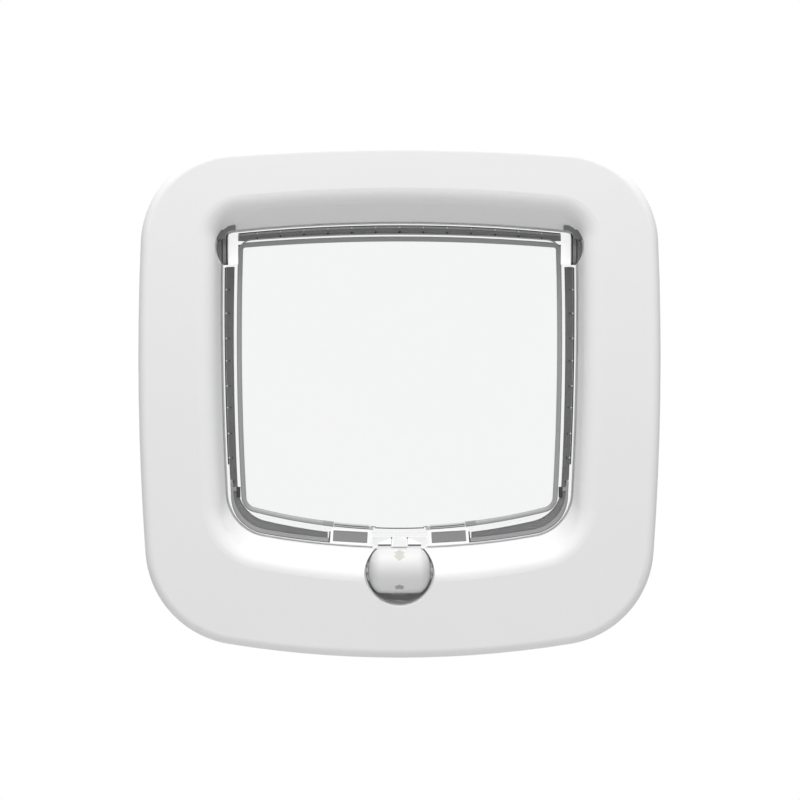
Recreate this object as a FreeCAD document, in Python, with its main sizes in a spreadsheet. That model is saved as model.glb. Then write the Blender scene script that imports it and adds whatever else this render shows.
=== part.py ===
import FreeCAD, Part
import math
import os
import Sketcher
from FreeCAD import Placement, Rotation, Vector

# A manual cat flap with a four-way lock, set in a door.
# Millimetres. X points right, Z points up and Y points from the room through the door.
# The door's inside face is the plane y = 0. The frame's outline is centred on x = 0, z = 0.

doc = FreeCAD.newDocument("cat_flap")
sheet = doc.addObject("Spreadsheet::Sheet", "Sizes")

SIZES = [
    # The frame's outline, a closed chain of eight tangent arcs
    ("frame_width", "224"),
    ("frame_top", "110.3"),
    ("frame_bottom", "110.3"),
    ("frame_wide_level", "19"),
    ("frame_top_crown", "955"),
    ("frame_upper_corner", "41"),
    ("frame_side_crown", "1173"),
    ("frame_lower_corner", "42.5"),
    ("frame_bottom_crown", "458"),
    # The ridge between the frame's face and its scoop, by its margins from the frame's outline
    ("ridge_side_margin", "27.6"),
    ("ridge_top_margin", "19.4"),
    ("ridge_bottom_margin", "32.6"),
    ("ridge_wide_level", "30"),
    ("ridge_top_crown", "700"),
    ("ridge_upper_corner", "17"),
    ("ridge_side_crown", "1300"),
    ("ridge_lower_corner", "24"),
    ("ridge_bottom_crown", "300"),
    # The flap's outline, by its margins from the frame's outline
    ("flap_side_margin", "35.6"),
    ("flap_top_margin", "33.9"),
    ("flap_bottom_margin", "47.1"),
    ("flap_wide_level", "40"),
    ("flap_top_crown", "700"),
    ("flap_upper_corner", "5"),
    ("flap_side_crown", "1500"),
    ("flap_lower_corner", "19"),
    ("flap_bottom_crown", "335"),
    # The flap's clear window, by its margins from the flap's outline
    ("window_side_margin", "8.3"),
    ("window_top_margin", "7.7"),
    ("window_bottom_margin", "8.1"),
    ("window_wide_level", "28"),
    ("window_top_crown", "840"),
    ("window_upper_corner", "4.5"),
    ("window_side_crown", "1243"),
    ("window_lower_corner", "12"),
    ("window_bottom_crown", "252"),
    # Depths of the frames
    ("door_thickness", "40"),
    ("bezel_depth", "16"),
    ("bezel_wall", "2.2"),
    ("edge_rounding", "3.6"),
    ("ridge_rounding", "8.5"),
    ("mouth_inset", "3.9"),
    ("scoop_edge_depth", "3"),
    ("flange_thickness", "2.5"),
    ("flange_gap", "0.6"),
    ("tunnel_gap", "0.8"),
    ("tunnel_wall", "2"),
    ("tunnel_length", "30"),
    ("sleeve_gap", "0.4"),
    ("sleeve_wall", "2"),
    ("sleeve_start", "22"),
    ("outer_depth", "9"),
    # The flap's section and its hinge
    ("flap_thickness", "6"),
    ("flap_level", "10.5"),
    ("panel_thickness", "2"),
    ("flap_edge_wall", "1.2"),
    ("bead_width", "2.4"),
    ("bead_height", "1.2"),
    ("inner_wall", "1.3"),
    ("channel_depth", "3.2"),
    ("strip_height", "2.6"),
    ("fit_gap", "0.05"),
    ("hinge_drop", "10.4"),
    ("pin_diameter", "3"),
    ("pin_length", "9"),
    ("pin_play", "0.06"),
    ("corner_inset", "2.4"),
    ("corner_drop", "7.3"),
    ("bush_gap", "0.4"),
    ("bush_radius", "11.2"),
    ("bush_length", "4.6"),
    ("bush_half_height", "7.2"),
    ("bush_clearance", "0.1"),
    ("bush_housing_wall", "2.2"),
    # The seal strips
    ("corner_block", "3.6"),
    ("top_strip_rise", "3"),
    ("side_strip_drop", "8"),
    ("side_strip_foot", "24.7"),
    ("lower_strip_end", "31"),
    ("strip_gap", "0.3"),
    # Magnets in the flap and in the sill
    ("magnet_offset", "21.4"),
    ("magnet_length", "13"),
    ("magnet_height", "5"),
    ("magnet_thickness", "2.4"),
    ("magnet_rise", "4.1"),
    ("magnet_tilt", "3.7"),
    ("sill_magnet_depth", "4"),
    # The notch, the tongue and the guard teeth at the flap's foot
    ("notch_half", "12"),
    ("notch_height", "4.4"),
    ("tongue_width", "5.6"),
    ("tongue_rise", "0.3"),
    ("tooth_start", "3.7"),
    ("tooth_end", "9.3"),
    ("tooth_rise", "3.7"),
    ("tooth_shoulder_rise", "1.2"),
    ("tooth_thickness", "2.2"),
    # The lock's thumb barrel, its shaft and its slide
    ("barrel_radius", "9.7"),
    ("barrel_ball", "13.6"),
    ("barrel_drop", "10.1"),
    ("barrel_depth", "5"),
    ("well_radius", "15"),
    ("well_play", "0.7"),
    ("well_wall", "1.6"),
    ("shaft_radius", "1.6"),
    ("shaft_left", "45.4"),
    ("shaft_right", "27"),
    ("screw_radius", "2.3"),
    ("screw_inner", "20.6"),
    ("screw_outer", "37"),
    ("groove_floor", "1.5"),
    ("groove_width", "2.6"),
    ("lock_lead", "12.8"),
    ("follower_radius", "0.7"),
    ("follower_start", "32.6"),
    ("bearing_width", "2.6"),
    ("bearing_wall", "1"),
    ("bearing_inner", "17"),
    ("bearing_outer", "39.5"),
    ("bearing_play", "0.05"),
    ("stop_width", "3"),
    ("stop_thickness", "2.4"),
    ("stop_gap", "0.4"),
    ("stop_lead", "1"),
    ("stop_inset", "0.5"),
    ("stop_rise", "3.6"),
    ("slide_gap", "0.2"),
    ("slide_thickness", "2.2"),
    ("slide_play", "0.3"),
    ("detent_half", "2.05"),
    ("detent_corner", "2.5"),
    ("detent_start", "22"),
    ("detent_width", "4"),
    ("leaf_thickness", "0.4"),
    ("leaf_length", "14.5"),
    ("leaf_play", "0.05"),
    # The slide's cover and the small screws
    ("cover_thickness", "1.6"),
    ("cover_half", "32"),
    ("small_screw_radius", "1.1"),
    ("small_head_radius", "2.1"),
    ("small_head_height", "1.2"),
    ("small_screw_length", "5"),
    # The fixing screws, their bosses and the bezel's posts
    ("boss_upper_outset", "7.8"),
    ("boss_upper_rise", "3.1"),
    ("boss_lower_inset", "3.4"),
    ("boss_lower_drop", "2.8"),
    ("boss_radius", "4"),
    ("boss_start", "8"),
    ("screw_shank_radius", "2"),
    ("screw_hole_play", "0.3"),
    ("screw_length", "32"),
    ("screw_head_radius", "4"),
    ("screw_head_height", "2.2"),
    ("post_radius", "2.2"),
    ("post_height", "6"),
    ("post_side_offset", "0.2"),
    ("post_top_offset", "0.4"),
    ("post_bottom_offset", "3"),
    ("post_wall", "2"),
]


class Length:
    """A size and the expression that gives it from the sheet."""

    def __init__(self, number, text):
        self.number = number
        self.text = text

    @staticmethod
    def of(other):
        return other if isinstance(other, Length) else Length(float(other), repr(float(other)))

    def __add__(self, other):
        o = Length.of(other)
        return Length(self.number + o.number, "(" + self.text + " + " + o.text + ")")

    def __radd__(self, other):
        return Length.of(other) + self

    def __sub__(self, other):
        o = Length.of(other)
        return Length(self.number - o.number, "(" + self.text + " - " + o.text + ")")

    def __rsub__(self, other):
        return Length.of(other) - self

    def __mul__(self, other):
        o = Length.of(other)
        return Length(self.number * o.number, "(" + self.text + " * " + o.text + ")")

    def __rmul__(self, other):
        return Length.of(other) * self

    def __truediv__(self, other):
        o = Length.of(other)
        return Length(self.number / o.number, "(" + self.text + " / " + o.text + ")")

    def __neg__(self):
        return Length(-self.number, "(-1 * " + self.text + ")")

    def __float__(self):
        return self.number


for row, (alias, value) in enumerate(SIZES, 1):
    sheet.set("A%d" % row, alias.replace("_", " "))
    sheet.set("B%d" % row, value)
    sheet.setAlias("B%d" % row, alias)
doc.recompute()


class Sheet:
    def __getattr__(self, alias):
        return Length(float(sheet.get(alias)), "Sizes." + alias)


S = Sheet()
TURN_X = Rotation(Vector(1, 0, 0), 90)


def bind(obj, **values):
    for name, value in values.items():
        obj.setExpression(name, Length.of(value).text)


def move(obj, x=0, y=0, z=0, rotation=None):
    """Sets an object's place, each coordinate bound to its own expression."""
    obj.Placement = Placement(
        Vector(float(x), float(y), float(z)), rotation or Rotation()
    )
    for axis, value in (("x", x), ("y", y), ("z", z)):
        if isinstance(value, Length):
            obj.setExpression("Placement.Base." + axis, value.text)
    return obj


# Outlines of tangent arcs, named by what they bound

def outline_of(prefix, around=None):
    """The eight-arc outline that the sheet's cells describe, alone or by its margins inside another."""
    cell = {
        name: getattr(S, prefix + "_" + name)
        for name in (
            "wide_level",
            "top_crown",
            "upper_corner",
            "side_crown",
            "lower_corner",
            "bottom_crown",
        )
    }
    if around is None:
        cell["half"] = getattr(S, prefix + "_width") / 2
        cell["top"] = getattr(S, prefix + "_top")
        cell["bottom"] = getattr(S, prefix + "_bottom")
    else:
        cell["half"] = around["half"] - getattr(S, prefix + "_side_margin")
        cell["top"] = around["top"] - getattr(S, prefix + "_top_margin")
        cell["bottom"] = around["bottom"] - getattr(S, prefix + "_bottom_margin")
    return cell


def grown(outline, distance):
    """The outline parallel to another, the distance outside it."""
    result = {name: value + distance for name, value in outline.items()}
    result["wide_level"] = outline["wide_level"]
    return result


def shrunk(outline, distance):
    return grown(outline, -Length.of(distance))


def between(first, second, share):
    """The outline that lies a share of the way from one to another."""
    return {
        name: first[name] * (1 - share) + second[name] * share for name in first
    }


def circle_meet(c1, d1, c2, d2, up):
    """The point at distance d1 from c1 and d2 from c2, on the right and up or down."""
    dx, dz = c2[0] - c1[0], c2[1] - c1[1]
    d = math.hypot(dx, dz)
    along = (d1 * d1 - d2 * d2 + d * d) / (2 * d)
    height = math.sqrt(d1 * d1 - along * along)
    ex, ez = dx / d, dz / d
    points = [
        (c1[0] + along * ex - side * height * ez, c1[1] + along * ez + side * height * ex)
        for side in (1, -1)
    ]
    return max(points, key=lambda p: p[0] + (p[1] if up else -p[1]))


def outline_arcs(outline):
    """Centre, radius and the two end angles of each arc, anticlockwise from the right side."""
    o = {name: float(value) for name, value in outline.items()}
    side = (o["half"] - o["side_crown"], o["wide_level"])
    top = (0.0, o["top"] - o["top_crown"])
    foot = (0.0, o["bottom_crown"] - o["bottom"])
    upper = circle_meet(
        top, o["top_crown"] - o["upper_corner"], side, o["side_crown"] - o["upper_corner"], True
    )
    lower = circle_meet(
        foot, o["bottom_crown"] - o["lower_corner"], side, o["side_crown"] - o["lower_corner"], False
    )

    def turn(centre, point):
        return math.atan2(point[1] - centre[1], point[0] - centre[0])

    a1, a2 = turn(side, lower), turn(side, upper)
    b2 = turn(top, upper)
    f2 = turn(foot, lower)

    def left(centre):
        return (-centre[0], centre[1])

    pi = math.pi
    return [
        (side, o["side_crown"], a1, a2),
        (upper, o["upper_corner"], a2, b2),
        (top, o["top_crown"], b2, pi - b2),
        (left(upper), o["upper_corner"], pi - b2, pi - a2),
        (left(side), o["side_crown"], pi - a2, pi - a1),
        (left(lower), o["lower_corner"], pi - a1, pi - f2),
        (foot, o["bottom_crown"], -pi - f2, f2),
        (lower, o["lower_corner"], f2, a1),
    ]


def outline_sketch(name, outline, level):
    """A sketch of an outline in the plane y = level, fully constrained."""
    sketch = doc.addObject("Sketcher::SketchObject", name)
    for centre, radius, start, end in outline_arcs(outline):
        circle = Part.Circle(Vector(centre[0], centre[1], 0), Vector(0, 0, 1), radius)
        sketch.addGeometry(Part.ArcOfCircle(circle, start, end), False)
    for i in range(8):
        sketch.addConstraint(Sketcher.Constraint("Tangent", i, 2, (i + 1) % 8, 1))
    named = []

    def size(kind, key, value, *where):
        index = sketch.addConstraint(Sketcher.Constraint(kind, *where, float(value)))
        sketch.renameConstraint(index, key)
        named.append((key, value))

    for i in (2, 6):
        sketch.addConstraint(Sketcher.Constraint("PointOnObject", i, 3, -2))
    sketch.addConstraint(Sketcher.Constraint("Symmetric", 0, 3, 4, 3, -2))
    size("Radius", "side_crown", outline["side_crown"], 0)
    size("Radius", "upper_corner", outline["upper_corner"], 1)
    size("Radius", "top_crown", outline["top_crown"], 2)
    size("Radius", "bottom_crown", outline["bottom_crown"], 6)
    size("Radius", "lower_corner", outline["lower_corner"], 7)
    for i, j in ((0, 4), (1, 3), (7, 5)):
        sketch.addConstraint(Sketcher.Constraint("Equal", i, j))
    size("DistanceX", "side_centre", outline["side_crown"] - outline["half"], 0, 3, -1, 1)
    size("DistanceY", "wide_level", outline["wide_level"], -1, 1, 0, 3)
    size("DistanceY", "top_centre", outline["top_crown"] - outline["top"], 2, 3, -1, 1)
    size("DistanceY", "foot_centre", outline["bottom_crown"] - outline["bottom"], -1, 1, 6, 3)
    for key, value in named:
        sketch.setExpression("Constraints." + key, value.text)
    return move(sketch, 0, level, 0, TURN_X)


def plate(name, outline, back, front):
    """A plate of one outline between the planes y = back and y = front, where front < back."""
    base = outline_sketch(name + "_outline", outline, back)
    pad = doc.addObject("Part::Extrusion", name)
    pad.Base = base
    pad.DirMode = "Custom"
    pad.Dir = Vector(0, -1, 0)
    bind(pad, LengthFwd=Length.of(back) - front)
    pad.Solid = True
    return pad


def loft(name, sections, ruled=False):
    """A solid through outlines, each given with its level."""
    solid = doc.addObject("Part::Loft", name)
    solid.Sections = [
        outline_sketch("%s_section_%d" % (name, i + 1), outline, level)
        for i, (outline, level) in enumerate(sections)
    ]
    solid.Solid = True
    solid.Ruled = ruled
    return solid


def box(name, x0, x1, y0, y1, z0, z1):
    """A block between two corners."""
    b = doc.addObject("Part::Box", name)
    bind(b, Length=Length.of(x1) - x0, Width=Length.of(y1) - y0, Height=Length.of(z1) - z0)
    return move(b, x0, y0, z0)


AXES = {
    "X": Rotation(Vector(0, 1, 0), 90),
    "Y": Rotation(Vector(1, 0, 0), -90),
    "Z": Rotation(),
}


def rod(name, axis, radius, length, x, y, z):
    """A cylinder along X, Y or Z that starts at a point."""
    c = doc.addObject("Part::Cylinder", name)
    bind(c, Radius=radius, Height=length)
    return move(c, x, y, z, AXES[axis])


def cone(name, axis, radius1, radius2, length, x, y, z):
    c = doc.addObject("Part::Cone", name)
    bind(c, Radius1=radius1, Radius2=radius2, Height=length)
    return move(c, x, y, z, AXES[axis])


def ball(name, radius, x, y, z):
    b = doc.addObject("Part::Sphere", name)
    bind(b, Radius=radius)
    return move(b, x, y, z)


def cut(name, base, *tools):
    c = doc.addObject("Part::Cut", name)
    c.Base = base
    c.Tool = tools[0] if len(tools) == 1 else fuse(name + "_tools", *tools)
    return c


def fuse(name, *shapes):
    f = doc.addObject("Part::MultiFuse", name)
    f.Shapes = list(shapes)
    return f


def common(name, *shapes):
    f = doc.addObject("Part::MultiCommon", name)
    f.Shapes = list(shapes)
    return f


def group(name, *shapes):
    g = doc.addObject("Part::Compound", name)
    g.Links = list(shapes)
    return g


def mirrored(name, source):
    """The mirror image of an object in the plane x = 0."""
    m = doc.addObject("Part::Mirroring", name)
    m.Source = source
    m.Base = Vector(0, 0, 0)
    m.Normal = Vector(1, 0, 0)
    return m


def fix_corners(sketch, points):
    """Draws a closed chain of lines in a sketch and fixes each corner by two distances."""
    numbers = [(float(x), float(z)) for x, z in points]
    count = len(points)
    for i in range(count):
        (x0, z0), (x1, z1) = numbers[i], numbers[(i + 1) % count]
        sketch.addGeometry(Part.LineSegment(Vector(x0, z0, 0), Vector(x1, z1, 0)), False)
    for i in range(count):
        sketch.addConstraint(Sketcher.Constraint("Coincident", i, 2, (i + 1) % count, 1))
    named = []
    for i, (x, z) in enumerate(points):
        for kind, value, key in (("DistanceX", x, "across_%d"), ("DistanceY", z, "up_%d")):
            value = Length.of(value)
            if value.number < 0:
                value, ends = -value, (i, 1, -1, 1)
            else:
                ends = (-1, 1, i, 1)
            index = sketch.addConstraint(Sketcher.Constraint(kind, *ends, float(value)))
            sketch.renameConstraint(index, key % i)
            named.append((key % i, value))
    for key, value in named:
        sketch.setExpression("Constraints." + key, value.text)


def profile(name, points, level, thickness):
    """A flat piece in an XZ plane: its corners are fixed by sketch distances, its front is at a level."""
    sketch = doc.addObject("Sketcher::SketchObject", name + "_profile")
    fix_corners(sketch, points)
    move(sketch, 0, level, 0, TURN_X)
    pad = doc.addObject("Part::Extrusion", name)
    pad.Base = sketch
    pad.DirMode = "Custom"
    pad.Dir = Vector(0, 1, 0)
    bind(pad, LengthFwd=thickness)
    pad.Solid = True
    return pad


def turned(name, points, x=0, y=0, z=0, rotation=None):
    """A body turned from a half section about its own Z axis; the points are (radius, height)."""
    body = doc.addObject("PartDesign::Body", name)
    plane = [f for f in body.Origin.OriginFeatures if f.Role == "XZ_Plane"][0]
    sketch = body.newObject("Sketcher::SketchObject", name + "_section")
    sketch.AttachmentSupport = [(plane, "")]
    sketch.MapMode = "FlatFace"
    count = len(points)
    numbers = [(float(r), float(h)) for r, h in points]
    for i in range(count):
        (r0, h0), (r1, h1) = numbers[i], numbers[(i + 1) % count]
        sketch.addGeometry(Part.LineSegment(Vector(r0, h0, 0), Vector(r1, h1, 0)), False)
    for i in range(count):
        sketch.addConstraint(Sketcher.Constraint("Coincident", i, 2, (i + 1) % count, 1))
    named = []
    for i, (r, h) in enumerate(points):
        for kind, value, key in (("DistanceX", r, "radius_%d"), ("DistanceY", h, "height_%d")):
            if not isinstance(value, Length) and value == 0:
                sketch.addConstraint(
                    Sketcher.Constraint("PointOnObject", i, 1, -2 if kind == "DistanceX" else -1)
                )
                continue
            index = sketch.addConstraint(Sketcher.Constraint(kind, -1, 1, i, 1, float(value)))
            sketch.renameConstraint(index, key % i)
            named.append((key % i, Length.of(value)))
    for key, value in named:
        sketch.setExpression("Constraints." + key, value.text)
    turn = body.newObject("PartDesign::Revolution", name + "_turning")
    turn.Profile = sketch
    turn.ReferenceAxis = (sketch, ["V_Axis"])
    turn.Angle = 360
    move(body, x, y, z, rotation)
    return body


NODES = {}


def node(name, obj, **extra):
    obj.Label = name
    NODES[name] = obj
    return obj


# Outlines that several pieces share

FRAME = outline_of("frame")
RIDGE = outline_of("ridge", FRAME)
FLAP = outline_of("flap", FRAME)
WINDOW = outline_of("window", FLAP)
OPENING = grown(FLAP, S.tunnel_gap)

y_flap_front = S.flap_level - S.flap_thickness / 2
y_flap_back = S.flap_level + S.flap_thickness / 2
y_crest = -S.bezel_depth
y_flange = -S.flange_thickness
y_barrel = -S.barrel_depth
z_foot = -FLAP["bottom"]
z_barrel = z_foot - S.barrel_drop
z_sill = z_foot - S.tunnel_gap
z_sill_under = z_sill - S.tunnel_wall
z_slide_top = z_sill_under - S.slide_gap
z_stop_peak = z_foot + S.stop_rise
z_notch = z_foot + S.notch_height
z_hinge = FLAP["top"] - S.hinge_drop
x_corner = FLAP["half"] - S.corner_inset
x_bush_face = x_corner + S.bush_gap
x_bush_reach = x_bush_face + S.bush_length
far = S.frame_width

# The inner bezel: a moulded cover with a flat face, a rounded edge and a scoop that slopes in to the opening


def rounded(name, base, level, radii):
    """Rounds the edges round a part's flat face at y = level: first those inside the face, then its rim."""
    doc.recompute()
    flat = [
        f for f in base.Shape.Faces
        if f.BoundBox.YLength < 1e-6 and abs(f.BoundBox.YMin - float(level)) < 1e-6
    ]
    face = max(flat, key=lambda f: f.Area)
    rim = face.OuterWire.Edges
    inside = [e for e in face.Edges if not any(e.isSame(r) for r in rim)]
    body = doc.addObject("PartDesign::Body", name)
    body.BaseFeature = base
    doc.recompute()
    last = body.Group[0]
    for place, edges, radius in (("_inside", inside, radii[0]), ("_rim", rim, radii[1])):
        middles = [e.valueAt((e.FirstParameter + e.LastParameter) / 2) for e in edges]
        picked = []
        for i, e in enumerate(last.Shape.Edges, 1):
            middle = e.valueAt((e.FirstParameter + e.LastParameter) / 2)
            if any(middle.distanceToPoint(m) < 1e-4 for m in middles):
                picked.append("Edge%d" % i)
        fillet = body.newObject("PartDesign::Fillet", name + place)
        fillet.Base = (last, picked)
        bind(fillet, Radius=radius)
        doc.recompute()
        last = fillet
    return body


def scoop_slope(name, growth):
    """The space of the scoop, grown all round, from the opening's edge out beyond the bezel's face."""
    run = S.bezel_depth - S.scoop_edge_depth
    return loft(
        name,
        [
            (grown(OPENING, growth), -S.scoop_edge_depth),
            (grown(between(OPENING, MOUTH, 1.2), growth), -S.scoop_edge_depth - run * 1.2),
        ],
        ruled=True,
    )


MOUTH = shrunk(RIDGE, S.mouth_inset)
bezel_block = plate("bezel_block", FRAME, Length.of(0), y_crest)
bezel_scooped = cut("bezel_scooped", bezel_block, scoop_slope("scoop", Length.of(0)))
bezel_outside = rounded("bezel_outside", bezel_scooped, y_crest, (S.ridge_rounding, S.edge_rounding))

# The hollow behind the face, a wall's thickness inside it
scoop_wall = S.bezel_wall * 1.1
y_hollow = y_crest + S.bezel_wall
hollow_block = plate("hollow_block", shrunk(FRAME, S.bezel_wall), Length.of(1), y_hollow)
hollow_scooped = cut(
    "hollow_scooped", hollow_block, scoop_slope("scoop_back", scoop_wall),
    plate("scoop_neck", grown(OPENING, scoop_wall), Length.of(2), -S.scoop_edge_depth),
)
bezel_hollow = rounded(
    "bezel_hollow", hollow_scooped, y_hollow, (S.ridge_rounding - S.bezel_wall, S.edge_rounding - S.bezel_wall)
)
bezel_opening = plate("bezel_opening", OPENING, Length.of(2), -far)
bezel_seat = plate("bezel_seat", grown(OPENING, S.bezel_wall * 1.2), Length.of(2), -S.scoop_edge_depth)
bezel_shell = cut("bezel_shell", bezel_outside, bezel_hollow, bezel_opening, bezel_seat)

# The round well: a cone in front of the barrel's axis and a bowl behind it
well_cone = cone(
    "well_cone", "Y", S.well_radius * 1.03, S.barrel_ball + S.well_play,
    S.bezel_depth - S.barrel_depth + 3, 0, y_crest - 3, z_barrel,
)
well_bowl = ball("well_bowl", S.barrel_ball + S.well_play, 0, y_barrel, z_barrel)
collar_cone = cone(
    "collar_cone", "Y", S.well_radius * 1.03 + S.well_wall, S.barrel_ball + S.well_play + S.well_wall,
    S.bezel_depth - S.barrel_depth + 3, 0, y_crest - 3, z_barrel,
)
collar_bowl = rod(
    "collar_bowl", "Y", S.barrel_ball + S.well_play + S.well_wall, S.barrel_depth - S.flange_thickness - S.flange_gap,
    0, y_barrel, z_barrel,
)
collar_front = common("collar_front", fuse("collar_blank", collar_cone, collar_bowl), bezel_outside)
collar_below = box(
    "collar_below", -far, far, -far, far, -far, z_sill - S.bezel_wall,
)
collar = common("collar", collar_front, collar_below)

# Tubes that push onto the inner frame's posts
x_side_post = (FRAME["half"] + RIDGE["half"]) / 2 - S.post_side_offset
z_top_post = (FRAME["top"] + RIDGE["top"]) / 2 - S.post_top_offset
z_bottom_post = -((FRAME["bottom"] + RIDGE["bottom"]) / 2 + S.post_bottom_offset)
posts_at = [
    (-x_side_post, Length.of(0)),
    (x_side_post, Length.of(0)),
    (Length.of(0), z_top_post),
    (Length.of(0), z_bottom_post),
]
post_tubes = [
    rod("post_tube_%d" % i, "Y", S.post_radius + S.post_wall, S.bezel_depth,
        x, y_flange - S.bezel_depth - S.fit_gap, z)
    for i, (x, z) in enumerate(posts_at, 1)
]
post_bores = [
    rod("post_bore_%d" % i, "Y", S.post_radius + S.fit_gap, S.post_height + 1,
        x, y_flange - S.post_height - S.fit_gap, z)
    for i, (x, z) in enumerate(posts_at, 1)
]
tubes_inside = common("tubes_inside", group("tubes", *post_tubes), bezel_outside)

# Recesses for the hinge bushes at the opening's upper corners


def bush_disc(name, growth, start, length, height_growth):
    """A segment of a round disc about the hinge's side, clipped above, below and inside."""
    disc = rod(name + "_disc", "Y", S.bush_radius + growth, length,
               x_bush_reach - S.bush_radius, start, z_hinge)
    clip = box(name + "_clip", x_bush_face - height_growth, far, start, Length.of(start) + length,
               z_hinge - S.bush_half_height - height_growth,
               z_hinge + S.bush_half_height + height_growth)
    return common(name, disc, clip)


bezel_bush_right = bush_disc("bezel_bush_right", S.bush_clearance * 3, -far, far * 2, S.bush_clearance * 3)
bezel_bush_left = mirrored("bezel_bush_left", bezel_bush_right)
shaft_notch = box(
    "shaft_notch", -(S.well_radius + S.well_wall * 3), S.well_radius + S.well_wall * 3,
    y_barrel - S.shaft_radius - 0.4, 2,
    z_barrel - S.shaft_radius - 0.4, z_barrel + S.shaft_radius + 0.4,
)
bezel = cut(
    "bezel",
    fuse("bezel_solid", bezel_shell, collar, tubes_inside),
    well_cone, well_bowl, shaft_notch, bezel_bush_left, bezel_bush_right, *post_bores,
)
node("inner_bezel", bezel)

# The inner frame: a flange on the door, the tunnel, the sill and the lock's housing

flange = plate("flange", shrunk(FRAME, S.bezel_wall + S.flange_gap), Length.of(0), y_flange)
y_lip = -(S.scoop_edge_depth - S.fit_gap)
tunnel_outside = plate("tunnel_outside", grown(OPENING, S.tunnel_wall), S.tunnel_length, y_lip)
tunnel_inside = plate("tunnel_inside", OPENING, S.tunnel_length + 5, -far)
bush_house_right = bush_disc(
    "bush_house_right", S.bush_housing_wall, y_lip,
    S.flap_level + S.bush_half_height + S.bush_clearance + S.bush_housing_wall - y_lip, S.bush_housing_wall,
)
bush_house_left = mirrored("bush_house_left", bush_house_right)
bush_pocket_right = bush_disc(
    "bush_pocket_right", S.bush_clearance, -far,
    far + S.flap_level + S.bush_half_height + S.bush_clearance, S.bush_clearance,
)
bush_pocket_left = mirrored("bush_pocket_left", bush_pocket_right)

# The lock's bay hangs below the sill, behind the barrel
y_front_stop = y_flap_front - S.stop_gap - S.stop_thickness
y_rear_stop = y_flap_back + S.stop_gap
y_cover = y_front_stop
z_slide_under = z_slide_top - S.slide_thickness
z_cover_top = z_slide_under - S.slide_play
z_cover_under = z_cover_top - S.cover_thickness
y_bay_back = y_rear_stop + S.stop_thickness + 1
sill_block = box(
    "sill_block", -(S.cover_half + 6), S.cover_half + 6, y_lip, y_bay_back + 1.5, z_cover_top, z_sill_under + 3,
)
cover_room = box(
    "cover_room", -(S.cover_half + S.slide_play), S.cover_half + S.slide_play, y_cover, y_bay_back + 10,
    z_cover_under - 10, z_cover_top,
)
lock_travel = S.lock_lead * 0.75
slide_way = box(
    "slide_way", -(S.follower_start + 2.6), lock_travel, y_front_stop - S.slide_play,
    y_front_stop + S.stop_thickness + S.slide_play, z_cover_top - 10, z_slide_top + S.slide_play,
)
reach_way = box(
    "reach_way", -(S.follower_start + 2.6), -(S.follower_start - lock_travel - 2.6), -far, y_front_stop,
    z_barrel - 3, z_slide_top + S.slide_play,
)
cross_way = box(
    "cross_way", -(S.tongue_width / 2 + S.stop_inset + S.stop_width * 2 + 1.1), lock_travel, y_front_stop - S.slide_play,
    y_rear_stop + S.stop_thickness + S.slide_play, z_cover_top - 10, z_slide_top + S.slide_play,
)
front_slot = box(
    "front_slot", -(S.tongue_width / 2 + S.stop_inset + S.stop_width + 0.7),
    lock_travel - S.tongue_width / 2 - S.stop_inset + 0.7,
    y_front_stop - S.slide_play, y_front_stop + S.stop_thickness + S.slide_play, -far, 0,
)
rear_slot = box(
    "rear_slot", -(S.tongue_width / 2 + S.stop_inset + S.stop_width * 2 + 0.9),
    lock_travel - S.tongue_width / 2 - S.stop_inset - S.stop_width + 0.5,
    y_rear_stop - S.slide_play, y_rear_stop + S.stop_thickness + S.slide_play, -far, 0,
)


def magnet_block(name, growth, y0, y1, z0, z1):
    return box(name, S.magnet_offset - S.magnet_length / 2 - growth, S.magnet_offset + S.magnet_length / 2 + growth,
               y0, y1, z0, z1)


sill_magnet_level = y_flap_front + S.stop_gap + S.slide_play
sill_magnet_right = magnet_block(
    "sill_magnet_right", Length.of(0), sill_magnet_level, sill_magnet_level + S.sill_magnet_depth,
    z_cover_top + S.fit_gap, z_cover_top + S.magnet_thickness + S.fit_gap,
)
sill_magnet_left = mirrored("sill_magnet_left", sill_magnet_right)
sill_pocket_right = magnet_block(
    "sill_pocket_right", S.fit_gap * 2, sill_magnet_level - S.fit_gap * 2,
    sill_magnet_level + S.sill_magnet_depth + S.fit_gap * 2,
    z_cover_top - 1, z_cover_top + S.magnet_thickness + S.fit_gap * 3,
)
sill_pocket_left = mirrored("sill_pocket_left", sill_pocket_right)
node("sill_magnet_right", sill_magnet_right)
node("sill_magnet_left", sill_magnet_left)

# The bay's bowl continues the well behind the flange
bay_bowl = box(
    "bay_bowl", -(S.barrel_ball + S.well_play + S.well_wall), S.barrel_ball + S.well_play + S.well_wall, y_flange,
    y_barrel + S.barrel_radius + S.well_play + 1.4,
    z_barrel - S.barrel_ball - S.well_play + 1.2, z_cover_top + 0.6,
)
barrel_room = rod(
    "barrel_room", "X", S.barrel_radius + S.well_play, (S.barrel_ball + S.well_play * 0.5) * 2,
    -(S.barrel_ball + S.well_play * 0.5), y_barrel, z_barrel,
)
bowl_room = ball("bowl_room", S.barrel_ball + S.well_play, 0, y_barrel, z_barrel)
bowl_clip = box("bowl_clip", -far, far, -far, y_barrel + S.barrel_radius - S.well_play, -far, z_barrel + S.shaft_radius)
bowl_cut = fuse("bowl_cut", barrel_room, common("bowl_low", bowl_room, bowl_clip))
collar_room = rod(
    "collar_room", "Y", S.barrel_ball + S.well_play + S.well_wall + 0.3, S.flange_thickness * 0.5 + 20, 0,
    y_flange - 20, z_barrel,
)
collar_room_low = common("collar_room_low", collar_room, box("collar_room_box", -far, far, -far, far, -far, z_sill - 0.2))
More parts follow.
